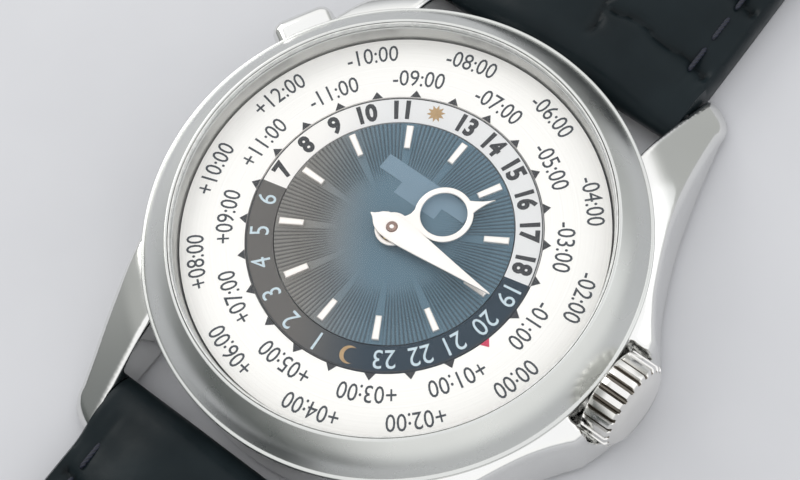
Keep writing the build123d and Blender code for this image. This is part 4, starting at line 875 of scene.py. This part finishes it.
def make_sun_and_moon():
    """A star of ten rays in the place of 12 and a crescent in the place of 24."""
    points, faces = [], []
    sun = polar(NUMERAL_RADIUS, hour_angle(12))
    star = []
    for corner in range(2 * SUN_RAYS):
        reach, a = SUN_REACH[corner % 2], TURN * corner / (2 * SUN_RAYS)
        star.append((sun[0] + reach * math.cos(a), sun[1] + reach * math.sin(a)))
    prism(points, faces, star, PRINT_LOW, PRINT_HIGH)
    centre = Vector(polar(NUMERAL_RADIUS, hour_angle(24)))
    out = Vector(polar(1, hour_angle(24)))
    side = Vector((out.y, -out.x))
    crescent = arc(0, 0.72, -125, 125, MOON_STEPS)
    for step in range(1, MOON_STEPS):
        a = math.radians(109 - 218 * step / MOON_STEPS)
        crescent.append((-0.246 + 0.64 * math.cos(a), 0.624 * math.sin(a)))
    prism(points, faces, [tuple(centre + side * x + out * y) for x, y in crescent], PRINT_LOW, PRINT_HIGH)
    dress(add_mesh("sun_and_moon", points, faces, [GOLD_INK], 30, weld=False), "day_ring", "day_ring")


# Offset ring with its labels in two rows and 24 small triangles
HOME_ANGLE = 105
LABEL_RADII = (13.15, 15.35)
TRIANGLE_FOOT = 11.51
TRIANGLE_TIP = 12.08
TRIANGLE_HALF = 2.1


def make_offset_ring():
    outline = rectangle(OFFSET_INNER, RING_LOW + RING_LIFT, OFFSET_OUTER, DIAL_TOP, 0, RING_EASE, 2)
    disc = ring("offset_ring_disc", outline, 288, [SATIN_WHITE])
    dress(disc, "city_ring", "offset_ring", "city_ring")
    labels = []
    triangles, home = ([], []), ([], [])
    for place in range(24):
        degrees = place * HOUR_STEP
        offset = (round((degrees - HOME_ANGLE) / HOUR_STEP) + 11) % 24 - 11
        text = "00:00" if offset == 0 else f"{offset:+03d}:00"
        labels.append((text, degrees, LABEL_RADII[place % 2]))
        foot = [polar(TRIANGLE_FOOT, degrees + side * TRIANGLE_HALF) for side in (-1, 1)]
        corners = [foot[0], polar(TRIANGLE_TIP, degrees), foot[1]]
        prism(*(triangles if offset else home), corners, PRINT_LOW, PRINT_HIGH)
    bent_labels("offset_labels", labels, 1.38, 0.84, 0.0, SLATE_INK, "city_ring", "offset_ring")
    black = add_mesh("zone_triangles", *triangles, [BLACK_INK], 30, weld=False)
    dress(black, "city_ring", "offset_ring")
    crimson = add_mesh("home_triangle", *home, [CRIMSON_INK], 30, weld=False)
    dress(crimson, "city_ring", "offset_ring")


# Hands, drawn along +X: the hour hand from its tip back, the minute hand as (along, half width)
HOUR_HAND_ANGLE = math.radians(90 - 37.5)
HOUR_LEVELS = (7.78, 7.98)
HOUR_TIP = (8.09, 6.22)
HOUR_RING = 4.03
HOUR_WAIST = [(1.66, 0.82), (1.38, 0.76)]
MINUTE_LEVELS = (8.15, 8.35)
MINUTE_LEAF = [
    (9.35, 0.04),
    (6.0, 0.42),
    (3.0, 0.79),
    (1.6, 0.95),
    (0.9, 1.0),
    (0.2, 1.02),
    (-0.5, 0.97),
    (-1.0, 0.84),
    (-1.35, 0.62),
    (-1.6, 0.36),
    (-1.8, 0.18),
    (-2.08, 0.03),
]
PIN_CAP = [(0, 8.37), (0.22, 8.37), (0.3, 8.42), (0.4, 8.42), (0.44, 8.37), (0.44, 8.12), (0, 8.12)]
PIN_END = [(0, 8.42), (0.12, 8.42), (0.17, 8.39), (0.17, 8.36), (0, 8.36)]


def make_hour_hand():
    """A tapered tip, an open circle and a round boss."""
    tip = []
    for step in range(13):
        t = step / 12
        tip.append((HOUR_TIP[0] + (HOUR_TIP[1] - HOUR_TIP[0]) * t, 0.03 + 0.5 * t**1.7))
    upper = tip + arc(HOUR_RING, 2.27, 14.5, 152, 60) + HOUR_WAIST + arc(0, 1.38, 33, 180, 30)
    outline = upper + [(x, -y) for x, y in reversed(upper[:-1])]
    window, pipe = arc(HOUR_RING, 1.81, 0, 354, 59), arc(0, 1.04, 0, 350, 35)
    shape = [outline, window[::-1], pipe[::-1]]
    hand = drawn("hour_hand_ringed", shape, *HOUR_LEVELS, 0.045, HANDS, HOUR_HAND_ANGLE)
    dress(hand, "hour", "hands", "hour_hand")


def make_minute_hand():
    """A leaf with a tail, and the pin that holds both hands."""
    outline = MINUTE_LEAF + [(x, -y) for x, y in reversed(MINUTE_LEAF)]
    hand = drawn("minute_hand_leaf", [outline, arc(0, 0.45, 0, 345, 23)[::-1]], *MINUTE_LEVELS, 0.03, HANDS)
    dress(hand, "minute", "hands", "minute_hand")
    dress(ring("hand_pin", PIN_CAP, 36, [PIN], 40, loop=False), "minute", "hands", "hand_cap")
    dress(ring("hand_pin_centre", PIN_END, 24, [HANDS], 40, loop=False), "minute", "hands")


# Corrector at 10 o'clock
PUSHER_INNER = 18.7
PUSHER_OUTER = 22.0
PUSHER_EASE = 1.15
PUSHER_HALF = (2.6, 1.45)
PUSHER_ROUND = 1.2
PUSHER_STEM_END = 15.4
PUSHER_STEM_RADIUS = 0.6


def make_pusher():
    """A rounded block with a domed end, and its stem."""
    cos, sin = math.cos(PUSHER_ANGLE), math.sin(PUSHER_ANGLE)
    points, faces = [], []

    def loft(sections):
        base, rows, count = len(points), len(sections), len(sections[0][1])
        for u, outline in sections:
            points.extend((u * cos - v * sin, u * sin + v * cos, STEM_HEIGHT + w) for v, w in outline)
        faces.extend(bands(rows, count, base, closed=False) + ends(rows, count, base))

    def block(inset):
        wide, high = PUSHER_HALF[0] - inset, PUSHER_HALF[1] - inset
        corner = PUSHER_ROUND - 0.95 * inset
        return rectangle(-wide, -high, wide, high, corner, corner, 7)

    sections = [(PUSHER_INNER, block(0.0))]
    for step in range(10):
        a = math.radians(10 * step)
        u = PUSHER_OUTER - PUSHER_EASE * (1 - math.sin(a))
        sections.append((u, block(PUSHER_EASE * (1 - math.cos(a)))))
    loft(sections)
    stem = arc(0, PUSHER_STEM_RADIUS, 0, 345, 23)
    loft([(PUSHER_STEM_END, stem), (PUSHER_INNER, stem)])
    dress(add_mesh("pusher_rounded", points, faces, [STEEL], 40), "pusher", "case_steel", "pusher")


# Crown with rounded flutes and a slightly domed bare end
CROWN_RADIUS = 3.55
CROWN_TEETH = 24
CROWN_SAMPLES = 12
CROWN_GROOVE = 0.4
CROWN_POCKET = [(21.3, 0.6), (21.3, 1.9), (20.05, 1.9)]

# Its outside as (x, drop of the radius, share of the groove)
CROWN_OUTSIDE = [
    (20.05, -0.3, 0.2),
    (20.12, -0.12, 0.75),
    (20.25, 0.0, 1.0),
    (22.3, 0.0, 1.0),
    (22.44, -0.09, 0.8),
    (22.55, -0.26, 0.25),
    (22.6, -0.42, 0.0),
    (22.85, -0.72, 0.0),
    (22.98, -1.1, 0.0),
    (23.05, -2.0, 0.0),
    (23.09, -2.9, 0.0),
    (23.1, -3.55, 0.0),
]


def groove_share(column):
    """How deep the grooves are at a column, from 0 to 1."""
    phase = (column % CROWN_SAMPLES) / CROWN_SAMPLES
    return smoothstep(0.5, 0.95, 0.5 + 0.5 * math.cos(TURN * phase))


def make_crown():
    columns = CROWN_TEETH * CROWN_SAMPLES
    points, paints = [], []
    count = len(CROWN_POCKET) + len(CROWN_OUTSIDE)
    for column in range(columns):
        angle = TURN * column / columns
        groove = CROWN_GROOVE * groove_share(column)
        outside = [(x, CROWN_RADIUS + drop - groove * share) for x, drop, share in CROWN_OUTSIDE]
        for x, r in CROWN_POCKET + outside:
            points.append((x, r * math.cos(angle), STEM_HEIGHT + r * math.sin(angle)))
        # Painted shade: faces deep in the grooves take the dark groove steel
        deep = (groove_share(column) + groove_share(column + 1)) / 2 > 0.62
        paints += [1 if deep and 4 <= i <= 7 else 0 for i in range(count - 1)]
    faces = bands(columns, count, loop=False) + [tuple(range(0, columns * count, count))]
    piece = add_mesh("crown_fluted", points, faces, [CROWN_STEEL, GROOVE_SHADE_STEEL], 50, paints + [0])
    dress(piece, "crown", "case_steel", "crown")


# Strap: each half's padding and rise over the wrist stand at shares of its length
Half = collections.namedtuple("Half", "end length stations pads lifts tip seed")
SHORT = Half(
    end=1,
    length=75.0,
    stations=[0.0, 0.12, 0.3, 0.5, 0.72, 0.93, 1.0],
    pads=[1.0, 0.94, 0.7, 0.4, 0.15, 0.03, 0.0],
    lifts=[0.0, 0.0, 0.25, 0.8, 1.0, 1.0, 0.0],
    tip=0,
    seed=0.4,
)
LONG = Half(
    end=-1,
    length=115.0,
    stations=[0.0, 0.1, 0.22, 0.4, 0.65, 1.0],
    pads=[1.0, 0.92, 0.62, 0.3, 0.08, 0.0],
    lifts=[0.0] * 6,
    tip=9.5,
    seed=1.7,
)
BAR_Y = 22.5
LOOP_RADIUS = 2.3
LOOP_STEPS = 10
STRAP_WIDTH = 21.86
TAIL_WIDTH = 18.0
STRAP_LIFT = 1.2
EDGE_HEIGHT = 1.9
EDGE_PAD = 1.1
CROWN_HEIGHT = 2.6
CROWN_PAD = 1.9
EDGE_ROUND = 0.55
BAR_COVER = 0.5
TOP_COLUMNS = 76
ROW_STEP = 0.32

# The hide's furrows and its channel for the stitches
FURROW_DEPTH = 0.62
FURROW_WIDTH = 0.42
SCALE_SHOULDER = 1.5
SCALE_LENGTH = 7.2
OUTER_SHARE = 0.66
STITCH_INSET = 2.0
CHANNEL_DEPTH = 0.1
CHANNEL_WIDTH = 0.32

# Stitches, as sections of (place along, share of the radius)
STITCH_PITCH = 3.3
STITCH_LENGTH = 2.5
STITCH_RADIUS = 0.2
STITCH_SIDES = 8
STITCH_START = 3.2
STITCH_SECTIONS = [(0.0, 0.25), (0.12, 0.75), (0.35, 1.0), (2.15, 1.0), (2.38, 0.75), (2.5, 0.25)]

# The slot for the tongue and the holes
SLOT_HALF = (1.45, 4.5)
HOLES = 7
HOLE_RADIUS = 0.95
HOLE_FIRST = 24.0
HOLE_PITCH = 6.5

# Keepers: roundings of the loop below and above, its thickness, and roundings of its edges
KEEPER_CORNERS = (1.1, 1.5)
KEEPER_THICKNESS = 0.88
KEEPER_EDGES = (0.35, 0.1)


def table_at(shares, values, share):
    """A value from a table of shares, eased over its kinks."""
    total = 0.0
    for shift in (-0.03, -0.015, 0.0, 0.015, 0.03):
        total += np.interp(min(1.0, max(0.0, share + shift)), shares, values)
    return float(total) / 5


def section_at(strap, s):
    """Half the width, the underside, and the heights of the edge and the middle at a place along a half."""
    share = min(1.0, max(0.0, s / strap.length))
    half = (STRAP_WIDTH - (STRAP_WIDTH - TAIL_WIDTH) * share) / 2
    pad = table_at(strap.stations, strap.pads, share)
    lift = STRAP_LIFT * table_at(strap.stations, strap.lifts, share)
    return half, lift, lift + EDGE_HEIGHT + EDGE_PAD * pad, lift + CROWN_HEIGHT + CROWN_PAD * pad


def hump(x):
    """A round hump, 1 at the middle."""
    return math.exp(-(x**2))


def furrow(x, s, half, seed):
    """How deep the hide's furrows are at a place across and along the strap, from 0 to 1."""
    wave = math.sin(s * 0.9 + seed) * 0.25 + math.sin(s * 0.37 + 2 * seed) * 0.35
    outer_line = half * OUTER_SHARE + 0.3 * math.sin(s * 0.6 + seed + (1.5 if x > 0 else 0))
    outer_starts = smoothstep(9.0, 16.0, s)
    nearest = min(abs(x - wave), abs(abs(x) - outer_line) + 3.0 * (1 - outer_starts))
    outer = abs(x) > half * OUTER_SHARE and outer_starts > 0.5
    length = SCALE_LENGTH - 2.2 * min(1.0, s / 80)
    if outer:
        length *= 0.62
    shift = (0.0 if x < wave else 0.42) * length + (1.3 if outer else 0.0)
    bow = 0.09 * (abs(x) - half * 0.3) ** 2 / half
    row = (s + shift + bow + 0.22 * math.sin(x * 1.3 + seed)) / length
    nearest = min(nearest, abs(row - round(row)) * length)
    return 0.62 * hump(nearest / FURROW_WIDTH) + 0.38 * hump(nearest / SCALE_SHOULDER)


def dome(x, half, edge, crown):
    """The height of the padded top across the strap."""
    return edge + (crown - edge) * (1 - smoothstep(0.3, 1.02, abs(x) / half))


def strap_ring(half, low, edge, crown, s, seed, fade, easing):
    """One closed section of the strap as (x, z) points, its top first from left to right."""
    section = []
    thick = edge - low
    flat = min(1.0, thick / 1.5)
    narrow = min(1.0, half / 1.5)
    for column in range(TOP_COLUMNS + 1):
        x = -half + 2 * half * column / TOP_COLUMNS
        from_edge = half - abs(x)
        over = min(1.0, max(0.0, EDGE_ROUND - from_edge) / EDGE_ROUND)
        z = dome(x, half, edge, crown) - easing * flat * (1 - math.sqrt(1 - over**2))
        channel = hump((from_edge - STITCH_INSET) / CHANNEL_WIDTH)
        hide = FURROW_DEPTH * smoothstep(0.2, 0.9, from_edge) * furrow(x, s, half, seed)
        section.append((x, z - fade * (hide + CHANNEL_DEPTH * channel)))
    side = [(0.0, thick * 0.45)]
    side += [(inset * narrow, rise * flat) for inset, rise in ((0.02, 0.3), (0.12, 0.1), (0.35, 0.0))]
    section += [(half - inset, low + rise) for inset, rise in side]
    section += [(share * half, low) for share in (0.6, 0.2, -0.2, -0.6)]
    return section + [(inset - half, low + rise) for inset, rise in reversed(side)]


def strap_half(name, strap):
    """One padded half of the strap, from the loop round its spring bar outwards."""
    rows = []
    for i in range(LOOP_STEPS):
        a = math.radians(8 + 82 * i / LOOP_STEPS)
        rows.append((-LOOP_RADIUS * math.cos(a), math.sin(a)))
    count = int(strap.length / ROW_STEP)
    rows += [(strap.length * i / count, 1.0) for i in range(count + 1)]
    points = []
    for s, squash in rows:
        half, low, edge, crown = section_at(strap, s)
        left = strap.length - s
        if left < strap.tip:
            from_tip = left / strap.tip
            half *= max(0.02, math.sin(math.pi / 2 * min(1.0, from_tip * 1.02)) ** 0.62)
            crown = edge + (crown - edge) * smoothstep(0.0, 0.9, from_tip)
            thin = 0.35 * (1 - smoothstep(0.0, 0.25, from_tip))
            edge -= thin
            crown -= thin
        if squash < 1.0:
            low, crown, edge = (LOOP_RADIUS + (z - LOOP_RADIUS) * squash for z in (0.0, crown, edge))
        fade = min(smoothstep(0.2, 2.0, s), smoothstep(0.0, 3.0, left))
        away = smoothstep(1.0, 4.5, abs(s))
        edge += BAR_COVER * squash * (1 - away)
        section = strap_ring(half, low, edge, crown, s, strap.seed, fade, 0.1 + 0.4 * away)
        points += [(x, strap.end * (BAR_Y + s), z) for x, z in section]
    count = len(section)
    faces = bands(len(rows), count, closed=False) + ends(len(rows), count)
    paints = [1 if TOP_COLUMNS + 3 <= i < count - 3 else 0 for i in range(count)] * (len(rows) - 1)
    return add_mesh(name, points, faces, [LEATHER, LINING], 45, paints + [0, 0])


def cut(piece, outlines):
    """Cut upright prisms through a piece, for its holes and its slot."""
    cutters = []
    for outline in outlines:
        points, faces = [], []
        prism(points, faces, outline, -2, 9)
        cutters.append(add_mesh("cutter", points, faces, [LINING]))
        modifier = piece.modifiers.new("cut", "BOOLEAN")
        put(modifier, operation="DIFFERENCE", solver="EXACT", object=cutters[-1])
    mesh = evaluated_mesh(piece)
    piece.modifiers.clear()
    old, piece.data = piece.data, mesh
    bpy.data.meshes.remove(old)
    for cutter in cutters:
        bpy.data.objects.remove(cutter)


def make_stitches(name, strap, stop, body):
    """Capsule stitches along both edges of a half."""
    points, faces = [], []
    rows = len(STITCH_SECTIONS)
    for sign in (-1, 1):
        s = STITCH_START
        while s + STITCH_LENGTH < stop:
            base = len(points)
            for along, swell in STITCH_SECTIONS:
                half, _, edge, crown = section_at(strap, s + along)
                x = half - STITCH_INSET
                z = dome(x, half, edge, crown) - 0.06 - 0.1 * (1 - swell)
                for dx, dz in arc(x, STITCH_RADIUS * swell, 0, 315, STITCH_SIDES - 1):
                    points.append((sign * dx, strap.end * (BAR_Y + s + along), z + dz))
            faces += bands(rows, STITCH_SIDES, base, closed=False) + ends(rows, STITCH_SIDES, base)
            s += STITCH_PITCH
    dress(add_mesh(name, points, faces, [THREAD], 60), body, "strap_leather")


def make_straps():
    short = strap_half("strap_short", SHORT)
    across, along = SLOT_HALF
    slot_y = BAR_Y + SHORT.length
    cut(short, [rectangle(-across, slot_y - along, across, slot_y + along)])
    dress(short, "strap_12", "strap_leather", "strap_12")
    long = strap_half("strap_long", LONG)
    holes = []
    for hole in range(HOLES):
        y = HOLE_FIRST + HOLE_PITCH * hole - BAR_Y - LONG.length
        holes.append([(x, y + rise) for x, rise in arc(0, HOLE_RADIUS, 0, 345, 23)])
    cut(long, holes)
    dress(long, "strap_6", "strap_leather", "strap_6")
    make_stitches("stitches_short", SHORT, 69.0, "strap_12")
    make_stitches("stitches_long", LONG, 105.0, "strap_6")


def make_keeper(name, node, body):
    """A leather loop with eased edges that stands where its CAD band is."""
    low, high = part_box(node)
    low, high = low / MM, high / MM
    path = rectangle(-high.x, low.z, high.x, high.z, *KEEPER_CORNERS, 8)
    section = rectangle(low.y, 0.0, high.y, KEEPER_THICKNESS, *KEEPER_EDGES)
    points = []
    for index, (x, z) in enumerate(path):
        along = (Vector(path[(index + 1) % len(path)]) - Vector(path[index - 1])).normalized()
        points += [(x - along.y * depth, y, z + along.x * depth) for y, depth in section]
    piece = add_mesh(name, points, bands(len(path), len(section)), [LEATHER], 50)
    dress(piece, body, "strap_leather", node)


# CAD nodes that stay, with eased edges and their own materials
def shading_group(name, degrees):
    """Geometry nodes that weld an imported mesh, or smooth it up to an angle."""
    group = bpy.data.node_groups.new(name, "GeometryNodeTree")
    for direction in ("INPUT", "OUTPUT"):
        group.interface.new_socket("Geometry", in_out=direction, socket_type="NodeSocketGeometry")
    add, link = group.nodes.new, group.links.new
    if degrees is None:
        steps = [add("GeometryNodeMergeByDistance"), add("GeometryNodeRemoveAttribute")]
        steps[0].inputs["Distance"].default_value = 0.0005 * MM
        steps[1].inputs["Name"].default_value = "custom_normal"
    else:
        steps = [add("GeometryNodeSetShadeSmooth"), add("GeometryNodeSetShadeSmooth")]
        steps[0].domain = "FACE"
        steps[1].domain = "EDGE"
        steps[1].inputs["Shade Smooth"].default_value = False
        compare = add("FunctionNodeCompare")
        compare.operation = "GREATER_THAN"
        compare.inputs[1].default_value = math.radians(degrees)
        link(add("GeometryNodeInputMeshEdgeAngle").outputs["Unsigned Angle"], compare.inputs[0])
        link(compare.outputs["Result"], steps[1].inputs["Selection"])
    last = add("NodeGroupInput").outputs[0]
    for step in steps:
        link(last, step.inputs["Geometry"])
        last = step.outputs["Geometry"]
    link(last, add("NodeGroupOutput").inputs[0])
    return group


WELD_GROUP = shading_group("weld_import", None)
SMOOTH_GROUP = shading_group("smooth_by_angle", 34)


def keep(name, entry, bevel, segments=2):
    """Keep a CAD node, with a material and eased edges."""
    node = nodes[name]
    if node.material_slots:
        for slot in node.material_slots:
            slot.link = "OBJECT"
            slot.material = entry
    else:
        node.data.materials.append(entry)
    add = node.modifiers.new
    put(add("weld", "NODES"), node_group=WELD_GROUP)
    put(add("flat", "DECIMATE"), decimate_type="DISSOLVE", angle_limit=math.radians(0.4))
    if bevel:
        ease = put(add("ease", "BEVEL"), width=bevel * MM, segments=segments, use_clamp_overlap=True)
        put(ease, limit_method="ANGLE", angle_limit=math.radians(28), miter_outer="MITER_ARC")
    put(add("smooth", "NODES"), node_group=SMOOTH_GROUP)
    put(add("weighted", "WEIGHTED_NORMAL"), keep_sharp=True)


def keep_nodes():
    for entry, bevel, names in (
        (BACK_STEEL, 0.1, "case_back"),
        (BACK_GLASS, 0.0, "back_crystal"),
        (STEEL_PART, 0.03, "crown_tube winding_stem winding_pinion pusher_sleeve"),
        (RUBBER, 0.03, "back_gasket crown_gasket"),
        (PLATE, 0.04, "main_plate movement_ring day_ring_guide"),
        (BRIDGE, 0.09, "barrel_bridge train_bridge balance_cock"),
        (RUBY, 0.04, "jewels"),
        (BLUED, 0.07, "bridge_screws"),
        (GILT, 0.02, "centre_wheel third_wheel fourth_wheel minute_wheel hour_wheel day_wheel"),
        (GILT, 0.05, "barrel"),
        (STEEL_PART, 0.02, "ratchet_wheel crown_wheel escape_wheel pallet_fork cannon_pinion"),
        (BALANCE_GILT, 0.03, "balance"),
        (BLUED, 0.0, "hairspring"),
        (ROTOR, 0.08, "micro_rotor"),
        # Spring bars in dark steel, painted shade in the gap between strap and lug
        (BAR_SHADE_STEEL, 0.0, "spring_bar_12 spring_bar_6"),
    ):
        for name in names.split():
            keep(name, entry, bevel)
    keep("buckle_bar", BUCKLE_STEEL, 0.1, 4)
    keep("buckle_frame", BUCKLE_STEEL, 0.5, 4)
    keep("buckle_tongue", BUCKLE_STEEL, 0.28, 3)


# Studio; lamps stand in metres
FLOOR_HALF = 1500.0
FLOOR_HEIGHT = -0.03
SKY_STOPS = [
    (0.0, (0.3, 0.305, 0.31)),
    (0.09, (0.52, 0.53, 0.54)),
    (0.24, (0.78, 0.79, 0.8)),
    (0.4, (1.0, 1.0, 0.99)),
    (1.0, (0.98, 0.985, 1.0)),
]
SKY_UP = (0.05, 0.05, 1.0)
SKY_STRENGTH = 1.17

# Dark patches of the room: their direction, the cosines where each begins and is full, and its tone
DARK_PATCHES = [
    ((-0.85, -0.25, 0.45), 0.8, 0.98, (0.4, 0.41, 0.4)),
    ((-0.35, -0.94, -0.25), 0.45, 0.95, (0.045, 0.055, 0.05)),
    ((0.17, 0.96, 0.15), 0.85, 1.0, (0.42, 0.43, 0.42)),
]

# The photograph's viewpoint, solved from the dial's circles and the case's outline
CAMERA_PLACE = (58.85, -41.57, 161.72)
CAMERA_RIGHT = (0.77408, 0.62067, -0.12476)
CAMERA_LOOK = (-0.34129, 0.24313, -0.90797)
CAMERA_LENS = 100.88


def make_floor():
    corners = rectangle(-FLOOR_HALF, -FLOOR_HALF, FLOOR_HALF, FLOOR_HALF)
    points = [(x, y, FLOOR_HEIGHT) for x, y in corners]
    add_mesh("floor", points, [(0, 1, 2, 3)], [floor_material()], weld=False)


def make_world():
    """A pale room that darkens towards the floor, with its dark patches."""
    scene.world = bpy.data.worlds.new("studio")
    t = Nodes(scene.world, "ShaderNodeOutputWorld", "Generated")
    sky = t.ramp(t.vector("DOT_PRODUCT", t.place, SKY_UP), SKY_STOPS)
    for centre, near, full, colour in DARK_PATCHES:
        toward = t.vector("DOT_PRODUCT", t.place, Vector(centre).normalized())
        sky = t.mix(t.share(toward, near, full, "SMOOTHSTEP"), sky, colour)
    t.end(t.add("ShaderNodeBackground", Color=sky, Strength=SKY_STRENGTH), "Background")


def softbox(name, place, size, power, colour=(1, 1, 1)):
    """A square lamp of a given size in metres that faces the watch."""
    light = bpy.data.lights.new(name, "AREA")
    put(light, shape="SQUARE", size=size, energy=power, color=colour)
    lamp = put(linked(name, light), location=place, rotation_mode="QUATERNION")
    lamp.rotation_quaternion = (-Vector(place)).to_track_quat("-Z", "Y")


def make_camera():
    camera = bpy.data.cameras.new("camera")
    put(camera, sensor_width=36.0, lens=CAMERA_LENS, clip_start=0.01, clip_end=10.0)
    scene.camera = linked("camera", camera)
    right, look = Vector(CAMERA_RIGHT).normalized(), Vector(CAMERA_LOOK).normalized()
    place = Vector(CAMERA_PLACE) * MM
    columns = (right, right.cross(look), -look, place)
    rows = [[column[i] for column in columns] for i in range(3)]
    scene.camera.matrix_world = Matrix([*rows, (0, 0, 0, 1)])


make_camera()
make_world()
make_floor()
softbox("key", (-0.6, 0.08, 0.38), 0.4, 1.5, (1.0, 0.99, 0.97))
softbox("fill", (0.35, 0.5, 0.45), 0.5, 0.3, (0.96, 0.98, 1.0))
scene.view_settings.view_transform = "Standard"

keep_nodes()
make_case()
make_bezel()
make_flange()
make_glass()
make_dial()
make_markers()
make_day_ring()
make_offset_ring()
make_hour_hand()
make_minute_hand()
make_pusher()
make_crown()
make_straps()
make_keeper("keeper_fixed", "fixed_keeper", "strap_12")
make_keeper("keeper_loose", "loose_keeper", "loose_keeper")
